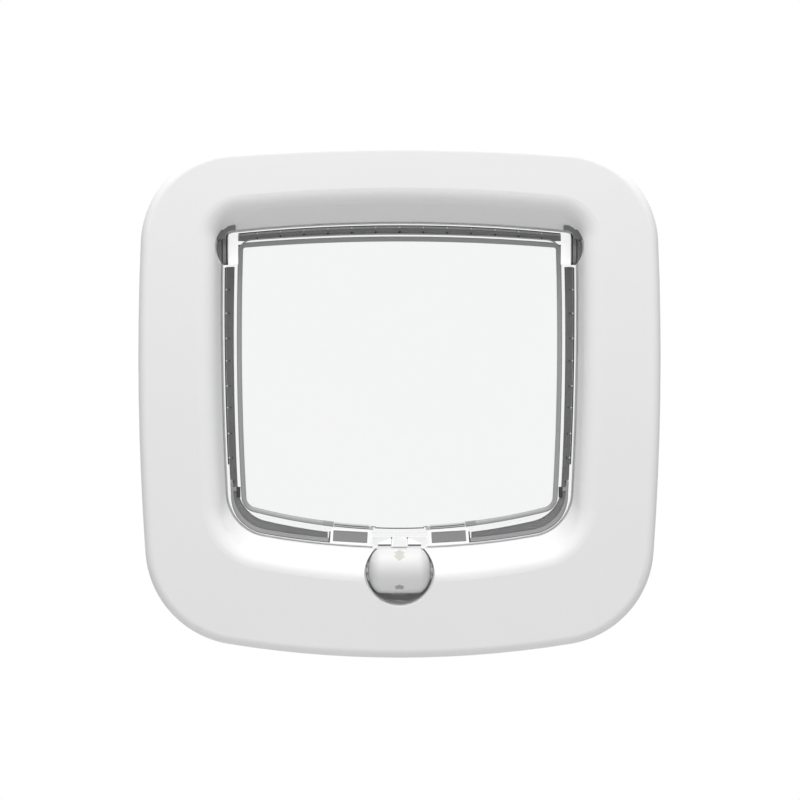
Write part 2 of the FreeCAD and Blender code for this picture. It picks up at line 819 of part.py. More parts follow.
leaf_window = box(
    "leaf_window", S.detent_start - 0.4, S.detent_start + S.detent_width + 0.4, -far, 1,
    z_barrel - 5.5, z_barrel + S.leaf_length * 0.5,
)
bearings = []
bearing_bores = []
for i, start in enumerate(
    (-(S.bearing_outer + S.bearing_width), -(S.bearing_inner + S.bearing_width), S.bearing_inner), 1
):
    bearings.append(rod("bearing_eye_%d" % i, "X", S.shaft_radius + S.bearing_play + S.bearing_wall,
                        S.bearing_width, start, y_barrel, z_barrel))
    bearings.append(box("bearing_post_%d" % i, start, start + S.bearing_width, y_barrel, 0,
                        z_barrel - S.shaft_radius - S.bearing_play - S.bearing_wall,
                        z_barrel + S.shaft_radius + S.bearing_play + S.bearing_wall))
    bearing_bores.append(rod("bearing_bore_%d" % i, "X", S.shaft_radius + S.bearing_play, S.bearing_width + 1,
                             start - 0.5, y_barrel, z_barrel))

tooth = profile(
    "tooth",
    [
        (S.tooth_start, z_foot + S.tooth_rise),
        (S.tooth_start, z_sill - 1),
        (S.tooth_end, z_sill - 1),
        (S.tooth_end, z_foot + S.tooth_shoulder_rise),
    ],
    y_front_stop - S.slide_play - S.tooth_thickness, S.tooth_thickness,
)
tooth_left = mirrored("tooth_left", tooth)

cover_screw_x = S.cover_half - S.small_head_radius
cover_screw_y = y_bay_back + 0.2 - S.small_head_radius
cover_holes = [
    rod("cover_hole_%d" % i, "Z", S.small_screw_radius, S.small_screw_length, x,
        cover_screw_y, z_cover_under)
    for i, x in enumerate((-cover_screw_x, cover_screw_x), 1)
]
leaf_screw_z = z_barrel - S.leaf_length * 0.5 + S.small_head_radius
leaf_x = S.detent_start + S.detent_width / 2
leaf_hole = rod("leaf_hole", "Y", S.small_screw_radius, S.small_screw_length, leaf_x,
                y_flange - S.leaf_thickness, leaf_screw_z)

leaf_boss = rod("leaf_boss", "Y", S.small_head_radius + 0.6, S.small_screw_length, leaf_x, y_flange + 0.5, leaf_screw_z)

x_upper_boss = FLAP["half"] + S.boss_upper_outset
z_upper_boss = FLAP["top"] + S.boss_upper_rise
x_lower_boss = FLAP["half"] - S.boss_lower_inset
z_lower_boss = z_foot - S.boss_lower_drop
screws_at = [
    (-x_upper_boss, z_upper_boss),
    (x_upper_boss, z_upper_boss),
    (-x_lower_boss, z_lower_boss),
    (x_lower_boss, z_lower_boss),
]
flange_holes = [
    rod("flange_hole_%d" % i, "Y", S.screw_shank_radius + S.screw_hole_play, S.flange_thickness + 4, x, y_flange - 2, z)
    for i, (x, z) in enumerate(screws_at, 1)
]
frame_posts = [
    rod("frame_post_%d" % i, "Y", S.post_radius, S.post_height, x, y_flange - S.post_height, z)
    for i, (x, z) in enumerate(posts_at, 1)
]
inner_blank = fuse(
    "inner_blank", flange, tunnel_outside, bush_house_right, bush_house_left, sill_block, bay_bowl, *frame_posts
)
inner_rough = cut(
    "inner_rough", inner_blank, tunnel_inside, slide_way, reach_way, cross_way, collar_room_low,
    leaf_window, cover_room, sill_pocket_right, sill_pocket_left,
)
inner_built = fuse("inner_built", inner_rough, tooth, tooth_left, leaf_boss, *bearings)
inner_hollowed = cut("inner_hollowed", inner_built, bowl_cut)
inner_slotted = cut("inner_slotted", inner_hollowed, front_slot, rear_slot, bush_pocket_right, bush_pocket_left)
inner_frame = cut(
    "inner_frame_solid", inner_slotted, leaf_hole, *(bearing_bores + cover_holes + flange_holes),
)
node("inner_frame", inner_frame)

# The slide's cover, screwed up against the sill block
cover_plate = box(
    "cover_plate", -S.cover_half, S.cover_half, y_cover + S.slide_play, y_bay_back + 1.2, z_cover_under, z_cover_top,
)
slide_cover = cut("slide_cover_solid", cover_plate, *[
    rod("cover_clear_%d" % i, "Z", S.small_screw_radius + 0.1, S.cover_thickness + 2, x,
        cover_screw_y, z_cover_under - 1)
    for i, x in enumerate((-cover_screw_x, cover_screw_x), 1)
])
node("slide_cover", slide_cover)


def small_screw(name, x, y, z, rotation):
    return turned(
        name,
        [
            (0, 0),
            (S.small_screw_radius, 0),
            (S.small_screw_radius, S.small_screw_length - S.small_head_radius * 0.3),
            (S.small_screw_radius, S.small_screw_length),
            (S.small_head_radius, S.small_screw_length),
            (S.small_head_radius, S.small_screw_length + S.small_head_height * 0.6),
            (S.small_head_radius * 0.7, S.small_screw_length + S.small_head_height),
            (0, S.small_screw_length + S.small_head_height),
        ],
        x, y, z, rotation,
    )


upside_down = Rotation(Vector(1, 0, 0), 180)
cover_screws = [
    small_screw("cover_screw_%d" % i, x, cover_screw_y, z_cover_under + S.small_screw_length, upside_down)
    for i, x in enumerate((-cover_screw_x, cover_screw_x), 1)
]
leaf_screw = small_screw(
    "leaf_screw", leaf_x, y_flange - S.leaf_thickness + S.small_screw_length, leaf_screw_z, TURN_X
)
node("lock_screws", group("lock_screw_set", leaf_screw, *cover_screws))

# The detent leaf: a thin spring strip behind the shaft's square
leaf_plate = box(
    "leaf_plate", S.detent_start + S.leaf_play, S.detent_start + S.detent_width - S.leaf_play,
    y_flange - S.leaf_thickness, y_flange,
    z_barrel - S.leaf_length * 0.5, z_barrel + S.leaf_length * 0.5 - 2,
)
detent_leaf = cut("detent_leaf_solid", leaf_plate, rod(
    "leaf_clear", "Y", S.small_screw_radius + 0.05, 6, leaf_x, y_flange - 3, leaf_screw_z))
node("detent_leaf", detent_leaf)

# Hinge bushes and pins
bush_dome = ball("bush_dome", S.bush_radius, x_bush_reach - S.bush_radius, S.flap_level, z_hinge)
bush_round = rod("bush_round", "X", S.bush_half_height, S.bush_radius, x_bush_face, S.flap_level, z_hinge)
bush_turned = common("bush_turned", bush_dome, bush_round)
pin_start = x_bush_reach - 0.8 - S.pin_length
bush_right = cut(
    "bush_right", bush_turned,
    rod("bush_bore", "X", S.pin_diameter / 2, S.pin_length, pin_start, S.flap_level, z_hinge),
)
bush_left = mirrored("bush_left", bush_right)
node("hinge_bush_right", bush_right)
node("hinge_bush_left", bush_left)
pin_right = rod("pin_right", "X", S.pin_diameter / 2, S.pin_length, pin_start, S.flap_level, z_hinge)
pin_left = mirrored("pin_left", pin_right)
node("hinge_pin_right", pin_right)
node("hinge_pin_left", pin_left)

# The outer frame: a flange on the door's outside face, a sleeve round the tunnel and four screw bosses
y_outside = S.door_thickness
y_outer_face = S.door_thickness + S.outer_depth
SLEEVE = grown(OPENING, S.tunnel_wall + S.sleeve_gap)
outer_shell = loft(
    "outer_shell",
    [
        (FRAME, y_outside),
        (between(FRAME, RIDGE, 0.01), y_outside + S.outer_depth * 0.45),
        (between(FRAME, RIDGE, 0.07), y_outside + S.outer_depth * 0.8),
        (between(FRAME, RIDGE, 0.30), y_outside + S.outer_depth * 0.96),
        (between(FRAME, RIDGE, 0.85), y_outer_face),
        (between(RIDGE, SLEEVE, 0.20), y_outside + S.outer_depth * 0.93),
        (SLEEVE, y_outside + S.outer_depth * 0.4),
    ],
)
outer_hollow = loft(
    "outer_hollow",
    [
        (shrunk(FRAME, S.bezel_wall), y_outside - 1),
        (shrunk(FRAME, S.bezel_wall * 1.2), y_outside + S.outer_depth * 0.4),
        (shrunk(between(FRAME, RIDGE, 0.2), S.bezel_wall), y_outer_face - S.bezel_wall * 1.3),
        (between(FRAME, RIDGE, 0.85), y_outer_face - S.bezel_wall * 1.1),
        (grown(SLEEVE, S.sleeve_wall), y_outside + S.outer_depth * 0.2),
        (grown(SLEEVE, S.sleeve_wall), y_outside - 1),
    ],
    ruled=True,
)
outer_face = cut("outer_face", outer_shell, outer_hollow)
sleeve = plate("sleeve", grown(SLEEVE, S.sleeve_wall), y_outside + S.outer_depth * 0.5, S.sleeve_start)
sleeve_bore = plate("sleeve_bore", SLEEVE, y_outer_face + 5, S.sleeve_start - 5)
boss_rods = [
    rod("boss_%d" % i, "Y", S.boss_radius, y_outside + S.outer_depth * 0.62 - S.boss_start, x, S.boss_start, z)
    for i, (x, z) in enumerate(screws_at, 1)
]
boss_bores = [
    rod("boss_bore_%d" % i, "Y", S.screw_shank_radius, S.screw_length - S.boss_start + 1, x, S.boss_start - 1, z)
    for i, (x, z) in enumerate(screws_at, 1)
]
outer_frame = cut(
    "outer_frame_solid", fuse("outer_blank", outer_face, sleeve, *boss_rods), sleeve_bore, *boss_bores
)
node("outer_frame", outer_frame)


def fixing_screw(name, x, z):
    total = S.screw_length
    return turned(
        name,
        [
            (0, 0),
            (S.screw_shank_radius * 0.4, 0),
            (S.screw_shank_radius, S.screw_shank_radius * 1.2),
            (S.screw_shank_radius, total + S.flange_thickness),
            (S.screw_head_radius, total + S.flange_thickness),
            (S.screw_head_radius, total + S.flange_thickness + S.screw_head_height * 0.4),
            (S.screw_head_radius * 0.6, total + S.flange_thickness + S.screw_head_height),
            (0, total + S.flange_thickness + S.screw_head_height),
        ],
        x, total, z, TURN_X,
    )


fixing_screws = [fixing_screw("fixing_screw_%d" % i, x, z) for i, (x, z) in enumerate(screws_at, 1)]
node("fixing_screws", group("fixing_screw_set", *fixing_screws))

# The flap: one clear moulding with a window panel, a bead, a channel for the seal strips and pockets for magnets

flap_blank = plate("flap_blank", FLAP, y_flap_back, y_flap_front)
y_panel_front = S.flap_level - S.panel_thickness / 2
y_panel_back = S.flap_level + S.panel_thickness / 2
front_recess = plate("front_recess", grown(WINDOW, S.bead_width), y_panel_front, y_flap_front - 1)
back_recess = plate("back_recess", grown(WINDOW, S.bead_width), y_flap_back + 1, y_panel_back)
bead_outside = plate("bead_outside", grown(WINDOW, S.bead_width), y_panel_front, y_panel_front - S.bead_height)
bead_inside = plate("bead_inside", WINDOW, y_panel_front + 1, y_panel_front - S.bead_height - 1)
bead_break = box("bead_break", -(S.magnet_offset + 1.2), S.magnet_offset + 1.2, -far, far, -far, -WINDOW["bottom"] + 6)
bead = cut("bead", bead_outside, bead_inside, bead_break)

CHANNEL_OUTER = shrunk(FLAP, S.flap_edge_wall)
CHANNEL_INNER = grown(WINDOW, S.bead_width + S.inner_wall)
z_top_strip = z_hinge - S.corner_drop
x_top_strip = x_corner - S.corner_block
z_strip_foot = z_foot + S.side_strip_foot


def channel_ring(name, growth, back, front):
    """The ring between the flap's edge wall and its inner wall, narrowed by a growth on both sides."""
    outer = plate(name + "_outer", shrunk(CHANNEL_OUTER, growth), back, front)
    inner = plate(name + "_inner", grown(CHANNEL_INNER, growth), back + 1, front - 1)
    return cut(name, outer, inner)


y_channel = y_flap_front + S.channel_depth
seal_regions = {
    "top": (-x_top_strip, x_top_strip, z_hinge + S.top_strip_rise, far),
    "left": (-far, -(WINDOW["half"] - 4), z_strip_foot, z_hinge - S.side_strip_drop),
    "right": (WINDOW["half"] - 4, far, z_strip_foot, z_hinge - S.side_strip_drop),
    "lower_left": (-far, -S.lower_strip_end, -far, z_strip_foot),
    "lower_right": (S.lower_strip_end, far, -far, z_strip_foot),
}
channel_cuts = []
for name, (x0, x1, z0, z1) in seal_regions.items():
    region = box("channel_box_" + name, x0, x1, -far, far, z0, z1)
    ring = channel_ring("channel_" + name, Length.of(0), y_channel, y_flap_front - 1)
    channel_cuts.append(common("channel_cut_" + name, ring, region))
    gap = S.strip_gap / 2
    strip_box = box("strip_box_" + name, x0 + gap, x1 - gap, -far, far, z0 + gap, z1 - gap)
    strip_ring = channel_ring("strip_ring_" + name, S.fit_gap, y_channel, y_channel - S.strip_height)
    node("seal_strip_" + name, common("seal_strip_" + name + "_solid", strip_ring, strip_box))

flap_magnets = {}
magnet_pockets = []
for side, sign in (("left", -1), ("right", 1)):
    for kind, growth in (("magnet", Length.of(0)), ("pocket", S.fit_gap)):
        b = doc.addObject("Part::Box", "flap_%s_%s" % (kind, side))
        bind(b, Length=S.magnet_length + growth * 2, Height=S.magnet_height + growth * 2)
        if kind == "magnet":
            bind(b, Width=S.magnet_thickness)
        else:
            bind(b, Width=S.magnet_thickness + 2)
        tilt = math.radians(float(S.magnet_tilt))
        turn = Rotation(Vector(0, 1, 0), -sign * float(S.magnet_tilt))
        centre_x = S.magnet_offset * sign
        corner_x = centre_x - (S.magnet_length / 2 + growth) * math.cos(tilt) + (
            (S.magnet_height / 2 + growth) * math.sin(tilt) * sign)
        corner_z = z_foot + S.magnet_rise - (S.magnet_length / 2 + growth) * math.sin(tilt) * sign - (
            (S.magnet_height / 2 + growth) * math.cos(tilt))
        start = y_flap_front + 0.3 if kind == "magnet" else y_flap_front - 1.7
        move(b, corner_x, start, corner_z, turn)
        if kind == "magnet":
            node("flap_magnet_" + side, b)
        else:
            magnet_pockets.append(b)

notch = box("notch", -S.notch_half, S.notch_half, -far, far, -far, z_notch)
tongue = box("tongue", -(S.tongue_width / 2), S.tongue_width / 2, y_flap_front, y_flap_back, z_foot + S.tongue_rise,
             z_notch + 0.5)
corner_right = box("corner_right", x_corner, far, -far, far, z_top_strip, far)
corner_left = mirrored("corner_left", corner_right)
pin_hole_right = rod("pin_hole_right", "X", S.pin_diameter / 2 + S.pin_play, S.pin_length + 6,
                     pin_start - 1, S.flap_level, z_hinge)
pin_hole_left = mirrored("pin_hole_left", pin_hole_right)
flap_rough = cut("flap_rough", flap_blank, front_recess, back_recess, notch, corner_right, corner_left)
flap_built = fuse("flap_built", flap_rough, bead, tongue)
flap = cut("flap_solid", flap_built, pin_hole_right, pin_hole_left, *(channel_cuts + magnet_pockets))
node("flap", flap)

# The thumb barrel on its shaft
barrel_rod = rod("barrel_rod", "X", S.barrel_radius, S.barrel_ball * 2, -S.barrel_ball, y_barrel, z_barrel)
barrel_sphere = ball("barrel_sphere", S.barrel_ball, 0, y_barrel, z_barrel)
barrel_bore = rod("barrel_bore", "X", S.shaft_radius, S.barrel_ball * 2 + 2, -(S.barrel_ball + 1), y_barrel, z_barrel)
barrel = cut("barrel", common("barrel_blank", barrel_rod, barrel_sphere), barrel_bore)
node("lock_barrel", barrel)

# The shaft, turned about its axis, with a square for the detent and one steep helical groove
along_x = Rotation(Vector(0, 1, 0), 90)
shaft_turned = turned(
    "shaft_turned",
    [
        (0, 0),
        (S.shaft_radius, 0),
        (S.shaft_radius, S.shaft_left - S.screw_outer),
        (S.screw_radius, S.shaft_left - S.screw_outer),
        (S.screw_radius, S.shaft_left - S.screw_inner),
        (S.shaft_radius, S.shaft_left - S.screw_inner),
        (S.shaft_radius, S.shaft_left + S.shaft_right),
        (0, S.shaft_left + S.shaft_right),
    ],
    -S.shaft_left, y_barrel, z_barrel, along_x,
)
detent_block = box(
    "detent_block", S.detent_start, S.detent_start + S.detent_width, y_barrel - S.detent_half,
    y_barrel + S.detent_half, z_barrel - S.detent_half, z_barrel + S.detent_half,
)
detent_round = rod("detent_round", "X", S.detent_corner, S.detent_width, S.detent_start, y_barrel, z_barrel)
detent = common("detent", detent_block, detent_round)


def groove_shape():
    """The cutter of the helical groove: a rectangle swept along a steep right-handed helix about the shaft."""
    lead = float(S.lock_lead)
    radius = (float(S.groove_floor) + float(S.screw_radius)) / 2 + 0.3
    run_in = 24.0
    sweep = 270.0 + 2 * run_in
    helix = Part.makeHelix(lead, lead * sweep / 360, radius)
    floor, width = float(S.groove_floor), float(S.groove_width)
    top = float(S.screw_radius) + 0.6
    corners = [
        Vector(floor, 0, -width / 2),
        Vector(top, 0, -width / 2),
        Vector(top, 0, width / 2),
        Vector(floor, 0, width / 2),
    ]
    section = Part.makePolygon(corners + corners[:1])
    solid = Part.Wire(helix.Edges).makePipeShell([section], True, True)
    if solid.Volume < 0:
        solid.reverse()
    # The helix starts on +X about Z; it is laid along X, starting on the side of +Y
    solid.rotate(Vector(0, 0, 0), Vector(0, 0, 1), -run_in)
    lay = FreeCAD.Matrix(0, 0, 1, 0, 1, 0, 0, 0, 0, 1, 0, 0, 0, 0, 0, 1)
    solid = solid.transformGeometry(lay)
    solid.translate(Vector(-float(S.follower_start) - lead * run_in / 360, float(y_barrel), float(z_barrel)))
    return solid


groove = doc.addObject("Part::Feature", "groove")
groove.Shape = groove_shape()
shaft = cut("shaft", fuse("shaft_blank", shaft_turned, detent), groove)
node("lock_shaft", shaft)

# The slide: an arm, a cross bar with two stops, and a leg whose follower runs in the groove
x_front_stop = -(S.tongue_width / 2 + S.stop_inset + S.stop_width)
x_rear_stop = x_front_stop - S.stop_width - 0.2
arm = box("arm", -(S.follower_start + 2), x_front_stop + S.stop_width, y_front_stop, y_front_stop + S.stop_thickness,
          z_slide_under, z_slide_top)
cross_bar = box("cross_bar", x_rear_stop - 0.3, x_front_stop + S.stop_width, y_front_stop,
                y_rear_stop + S.stop_thickness, z_slide_under, z_slide_top)


def stop_post(name, x, y, lead_y, z0, z1):
    """A stop whose leading edge is bevelled on the side that meets the tongue."""
    sketch = doc.addObject("Sketcher::SketchObject", name + "_plan")
    ahead = x + S.stop_width
    back = y + S.stop_thickness
    if lead_y > 0:
        corners = [(x, y), (ahead, y), (ahead, back - S.stop_lead), (ahead - S.stop_lead, back), (x, back)]
    else:
        corners = [(x, y), (ahead - S.stop_lead, y), (ahead, y + S.stop_lead), (ahead, back), (x, back)]
    fix_corners(sketch, corners)
    move(sketch, 0, 0, z0)
    pad = doc.addObject("Part::Extrusion", name)
    pad.Base = sketch
    pad.DirMode = "Custom"
    pad.Dir = Vector(0, 0, 1)
    bind(pad, LengthFwd=z1 - z0)
    pad.Solid = True
    return pad


front_stop = stop_post("front_stop", x_front_stop, y_front_stop, 1, z_slide_under, z_stop_peak)
rear_stop = stop_post("rear_stop", x_rear_stop, y_rear_stop, -1, z_slide_under, z_stop_peak)
y_leg = y_barrel + S.screw_radius + 0.8
reach_bar = box("reach_bar", -(S.follower_start + 2), -(S.follower_start - 2), y_leg, y_front_stop + 0.5,
                z_slide_under, z_slide_top)
leg = box("leg", -(S.follower_start + 2), -(S.follower_start - 2), y_leg, y_leg + S.stop_thickness,
          z_barrel - 1.8, z_slide_top)
follower = rod("follower", "Y", S.follower_radius, y_leg - y_barrel - S.groove_floor - 0.2 + 0.5,
               -S.follower_start, y_barrel + S.groove_floor + 0.2, z_barrel)
slide = fuse("slide", arm, cross_bar, front_stop, rear_stop, reach_bar, leg, follower)
node("lock_slide", slide)

doc.recompute()

faults = [o.Name for o in doc.Objects if "Invalid" in o.State or "Error" in o.State]
if faults:
    raise RuntimeError("these objects failed: " + ", ".join(faults))
for name, obj in NODES.items():
    shape = obj.Shape
    if shape.isNull() or not shape.isValid() or not shape.Solids:
        raise RuntimeError(name + " has no valid solid")
os.makedirs("parts", exist_ok=True)
for name, obj in NODES.items():
    obj.Shape.exportStep("parts/" + name + ".step")
    print(name, len(obj.Shape.Solids), round(obj.Shape.Volume, 1))
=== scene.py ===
import math
import random
from collections import namedtuple

import bmesh
import bpy
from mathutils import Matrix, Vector
from mathutils.bvhtree import BVHTree


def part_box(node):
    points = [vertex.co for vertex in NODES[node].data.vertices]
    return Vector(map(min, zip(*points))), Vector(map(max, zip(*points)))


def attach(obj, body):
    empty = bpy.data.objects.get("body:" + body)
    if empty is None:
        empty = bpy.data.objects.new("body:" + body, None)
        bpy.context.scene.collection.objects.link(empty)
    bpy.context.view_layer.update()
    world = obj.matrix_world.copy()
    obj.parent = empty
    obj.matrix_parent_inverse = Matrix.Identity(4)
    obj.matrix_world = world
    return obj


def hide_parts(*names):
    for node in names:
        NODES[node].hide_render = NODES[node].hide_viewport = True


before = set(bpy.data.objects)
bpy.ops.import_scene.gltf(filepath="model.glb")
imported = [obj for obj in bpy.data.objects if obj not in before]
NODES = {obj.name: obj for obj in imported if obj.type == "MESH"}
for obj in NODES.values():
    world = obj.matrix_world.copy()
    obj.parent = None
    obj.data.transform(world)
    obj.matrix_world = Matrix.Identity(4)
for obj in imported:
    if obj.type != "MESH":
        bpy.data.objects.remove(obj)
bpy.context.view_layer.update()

bl_info = {
    "name": "Cat Flap Looks",
    "version": (1, 0, 0),
    "blender": (4, 5, 0),
    "location": "View3D > Sidebar > Cat Flap",
    "description": "Finishes and fine detail for a cat flap with a barrel lock",
    "category": "Object",
}

MM = 0.001

# Places in the code are in millimetres, with Y going from the room through the door.
# An outline is eight tangent arcs: its extents, the level where it is widest, and its radii
Outline = namedtuple("Outline", "half top bottom widest top_r upper_r side_r lower_r foot_r")
FLAP = Outline(76.4, 76.4, 63.2, 40, 700, 5, 1500, 19, 335)
WINDOW = Outline(68.1, 68.7, 55.1, 28, 840, 4.5, 1243, 12, 252)
BEAD = Outline(68.1, 68.7, 53.95, 28, 840, 0.8, 1243, 4.5, 252)

# Fronts of the flap's rim, of the window's panel and of the seal strips
FLAP_FRONT = 7.5
PANEL_FRONT = 9.5
STRIP_FRONT = 8.1

# The back of what lies on the rim, and of what is sunk a little into the panel
ON_RIM = FLAP_FRONT - 0.01
IN_PANEL = PANEL_FRONT + 0.02

# Fronts of the pile that laps over the rim, and of the dark lines along it
LAP_FRONT = 7.45
LINE_FRONT = 7.43

HINGE_Y = 10.5
HINGE_Z = 66
BARREL_Y = -5.0
BARREL_Z = -73.3
BARREL_RADIUS = 9.7

SIDES = (("right", 1), ("left", -1))

# Each seal strip with the part of the flap that it is on, and how much paler its pile is painted there:
# painted light that lifts the shade on the top and lower strips
SEALS = {
    "seal_strip_top": "top",
    "seal_strip_left": "side",
    "seal_strip_right": "side",
    "seal_strip_lower_left": "lower",
    "seal_strip_lower_right": "lower",
}
PILE_PAINTED_LIGHT = {"top": 1.5, "side": 1.0, "lower": 1.3}

# Levels of the pips beside the window, and their distances from the middle above it
SIDE_PIPS = (48.0, 37.8, 26.9, 17.2, 6.3, -3.1, -14.3, -24.8, -35.0)
TOP_PIPS = (0.2, 10.3, 20.7, 31.0, 41.4, 51.6, 61.6)


class CatFlapSizes(bpy.types.PropertyGroup):
    bead_width: bpy.props.FloatProperty(
        name="Bead Width",
        description="Width of the gray bead round the window",
        default=0.0021,
        min=0.0005,
        unit="LENGTH",
    )
    bead_height: bpy.props.FloatProperty(
        name="Bead Height",
        description="How far the bead stands out of the window's panel",
        default=0.0021,
        min=0.0002,
        unit="LENGTH",
    )
    bead_end: bpy.props.FloatProperty(
        name="Bead End",
        description="Distance from the middle at which the bead stops along the foot",
        default=0.0322,
        min=0.01,
        unit="LENGTH",
    )
    tuft_pitch: bpy.props.FloatProperty(
        name="Tuft Pitch",
        description="Distance between the tufts of the sealing pile",
        default=0.00036,
        min=0.0002,
        unit="LENGTH",
    )
    tuft_height: bpy.props.FloatProperty(
        name="Tuft Height",
        description="How far the tallest tufts stand out of their backing",
        default=0.0005,
        min=0.0001,
        unit="LENGTH",
    )
    pip_radius: bpy.props.FloatProperty(
        name="Pip Radius",
        description="Radius of the small pips that hold the seals",
        default=0.00036,
        min=0.0001,
        unit="LENGTH",
    )
    grain_size: bpy.props.FloatProperty(
        name="Grain Size",
        description="Size of the fine texture on the white mouldings",
        default=0.0005,
        min=0.0001,
        unit="LENGTH",
    )


class CatFlapColours(bpy.types.PropertyGroup):
    white: bpy.props.FloatVectorProperty(
        name="White Plastic",
        description="Colour of the frames, the barrel, its shaft and the slide",
        subtype="COLOR",
        size=4,
        min=0.0,
        max=1.0,
        default=(0.83, 0.83, 0.835, 1.0),
    )
    clear: bpy.props.FloatVectorProperty(
        name="Clear Plastic",
        description="Tint of the clear flap",
        subtype="COLOR",
        size=4,
        min=0.0,
        max=1.0,
        default=(0.90, 0.905, 0.905, 1.0),
    )
    gray: bpy.props.FloatVectorProperty(
        name="Gray Plastic",
        description="Colour of the hinge bushes and the guards' pins",
        subtype="COLOR",
        size=4,
        min=0.0,
        max=1.0,
        default=(0.22, 0.22, 0.225, 1.0),
    )
    bead: bpy.props.FloatVectorProperty(
        name="Window Bead",
        description="Colour of the bead round the window, its rails and its clips",
        subtype="COLOR",
        size=4,
        min=0.0,
        max=1.0,
        default=(0.33, 0.33, 0.335, 1.0),
    )
    # This dark colour paints the shade in the gaps, seams, pinholes and the lines along the seals; it also
    # colours the dark lines of the foot's rails.
    shade: bpy.props.FloatVectorProperty(
        name="Dark Plastic",
        description="Colour of the dark lines and seams, the pinholes and the gaps' linings",
        subtype="COLOR",
        size=4,
        min=0.0,
        max=1.0,
        default=(0.05, 0.05, 0.05, 1.0),
    )
    pile: bpy.props.FloatVectorProperty(
        name="Sealing Pile",
        description="Colour of the seals' pile",
        subtype="COLOR",
        size=4,
        min=0.0,
        max=1.0,
        default=(0.27, 0.27, 0.275, 1.0),
    )
    magnet: bpy.props.FloatVectorProperty(
        name="Magnet",
        description="Colour of the magnets",
        subtype="COLOR",
        size=4,
        min=0.0,
        max=1.0,
        default=(0.27, 0.27, 0.27, 1.0),
    )
    steel: bpy.props.FloatVectorProperty(
        name="Steel",
        description="Colour of the zinc-plated pins, screws and spring leaf",
        subtype="COLOR",
        size=4,
        min=0.0,
        max=1.0,
        default=(0.62, 0.62, 0.63, 1.0),
    )
    sign: bpy.props.FloatVectorProperty(
        name="Barrel Signs",
        description="Colour of the arrows on the barrel",
        subtype="COLOR",
        size=4,
        min=0.0,
        max=1.0,
        default=(0.62, 0.62, 0.57, 1.0),
    )


def sizes():
    return bpy.context.scene.cat_flap_sizes


def colours():
    return bpy.context.scene.cat_flap_colours


# Outlines

def grown(outline, distance):
    """The outline parallel to another, the distance outside it."""
    return Outline(*(value + distance for value in outline))._replace(widest=outline.widest)


def arcs_meet(c1, d1, c2, d2, up):
    """The point on the right, above or below, at given distances from two centres."""
    dx = c2[0] - c1[0]
    dz = c2[1] - c1[1]
    d = math.hypot(dx, dz)
    along = (d1 * d1 - d2 * d2 + d * d) / (2 * d)
    height = math.sqrt(d1 * d1 - along * along)
    ex = dx / d
    ez = dz / d
    points = [
        (c1[0] + along * ex - s * height * ez, c1[1] + along * ez + s * height * ex)
        for s in (1, -1)
    ]
    return max(points, key=lambda p: p[0] + (p[1] if up else -p[1]))


def outline_arcs(outline):
    """Centre, radius and end angles of each arc, anticlockwise from the right side's foot."""
    half, top, bottom, widest, top_r, upper_r, side_r, lower_r, foot_r = outline
    side = (half - side_r, widest)
    crown = (0.0, top - top_r)
    foot = (0.0, foot_r - bottom)
    upper = arcs_meet(crown, top_r - upper_r, side, side_r - upper_r, True)
    lower = arcs_meet(foot, foot_r - lower_r, side, side_r - lower_r, False)

    def turn(centre, point):
        return math.atan2(point[1] - centre[1], point[0] - centre[0])

    a1 = turn(side, lower)
    a2 = turn(side, upper)
    b2 = turn(crown, upper)
    f2 = turn(foot, lower)
    pi = math.pi
    return [
        (side, side_r, a1, a2),
        (upper, upper_r, a2, b2),
        (crown, top_r, b2, pi - b2),
        ((-upper[0], upper[1]), upper_r, pi - b2, pi - a2),
        ((-side[0], side[1]), side_r, pi - a2, pi - a1),
        ((-lower[0], lower[1]), lower_r, pi - a1, pi - f2),
        (foot, foot_r, -pi - f2, f2),
        (lower, lower_r, f2, a1),
    ]


def outline_points(outline, step):
    """Points (x, z, outward direction) of an outline, about a step apart."""
    points = []
    for centre, radius, start, end in outline_arcs(outline):
        count = max(6, int(abs(end - start) * radius / step))
        for i in range(count):
            a = start + (end - start) * i / count
            direction = (math.cos(a), math.sin(a))
            x = centre[0] + radius * direction[0]
            z = centre[1] + radius * direction[1]
            points.append((x, z, direction))
    return points


def run(outline, keep, step=0.6):
    """The one unbroken stretch of an outline whose points pass a test."""
    points = outline_points(outline, step)
    start = next(i for i, p in enumerate(points) if keep(p) and not keep(points[i - 1]))
    turned = points[start:] + points[:start]
    count = next((i for i, p in enumerate(turned) if not keep(p)), len(turned))
    return turned[:count]


# Parts: a part is a pair of corners, as (x, y, z), and faces, as indices of corners

def skin(rows):
    """A closed form that passes through rows, each with the same number of corners."""
    n = len(rows[0])
    faces = []
    for i in range(len(rows) - 1):
        for k in range(n):
            m = (k + 1) % n
            faces.append((i * n + k, i * n + m, (i + 1) * n + m, (i + 1) * n + k))
    last = (len(rows) - 1) * n
    faces.append(tuple(range(n)))
    faces.append(tuple(last + k for k in reversed(range(n))))
    return [corner for row in rows for corner in row], faces


def sweep(points, section):
    """A section of (outward, y) corners, swept along points of an outline."""
    return skin([
        [(x + direction[0] * out, y, z + direction[1] * out) for out, y in section]
        for x, z, direction in points
    ])


def prism(corners, back, front):
    """A flat piece with an outline of (x, z) corners, between two levels of y."""
    return skin([[(x, y, z) for x, z in corners] for y in (back, front)])


def block(x0, x1, front, back, z0, z1):
    return prism([(x0, z0), (x1, z0), (x1, z1), (x0, z1)], back, front)


def band(points, offset, width, front):
    """A flat band on the flap's rim, along points of an outline."""
    inner = offset - width / 2
    outer = offset + width / 2
    return sweep(points, [(inner, ON_RIM), (inner, front), (outer, front), (outer, ON_RIM)])


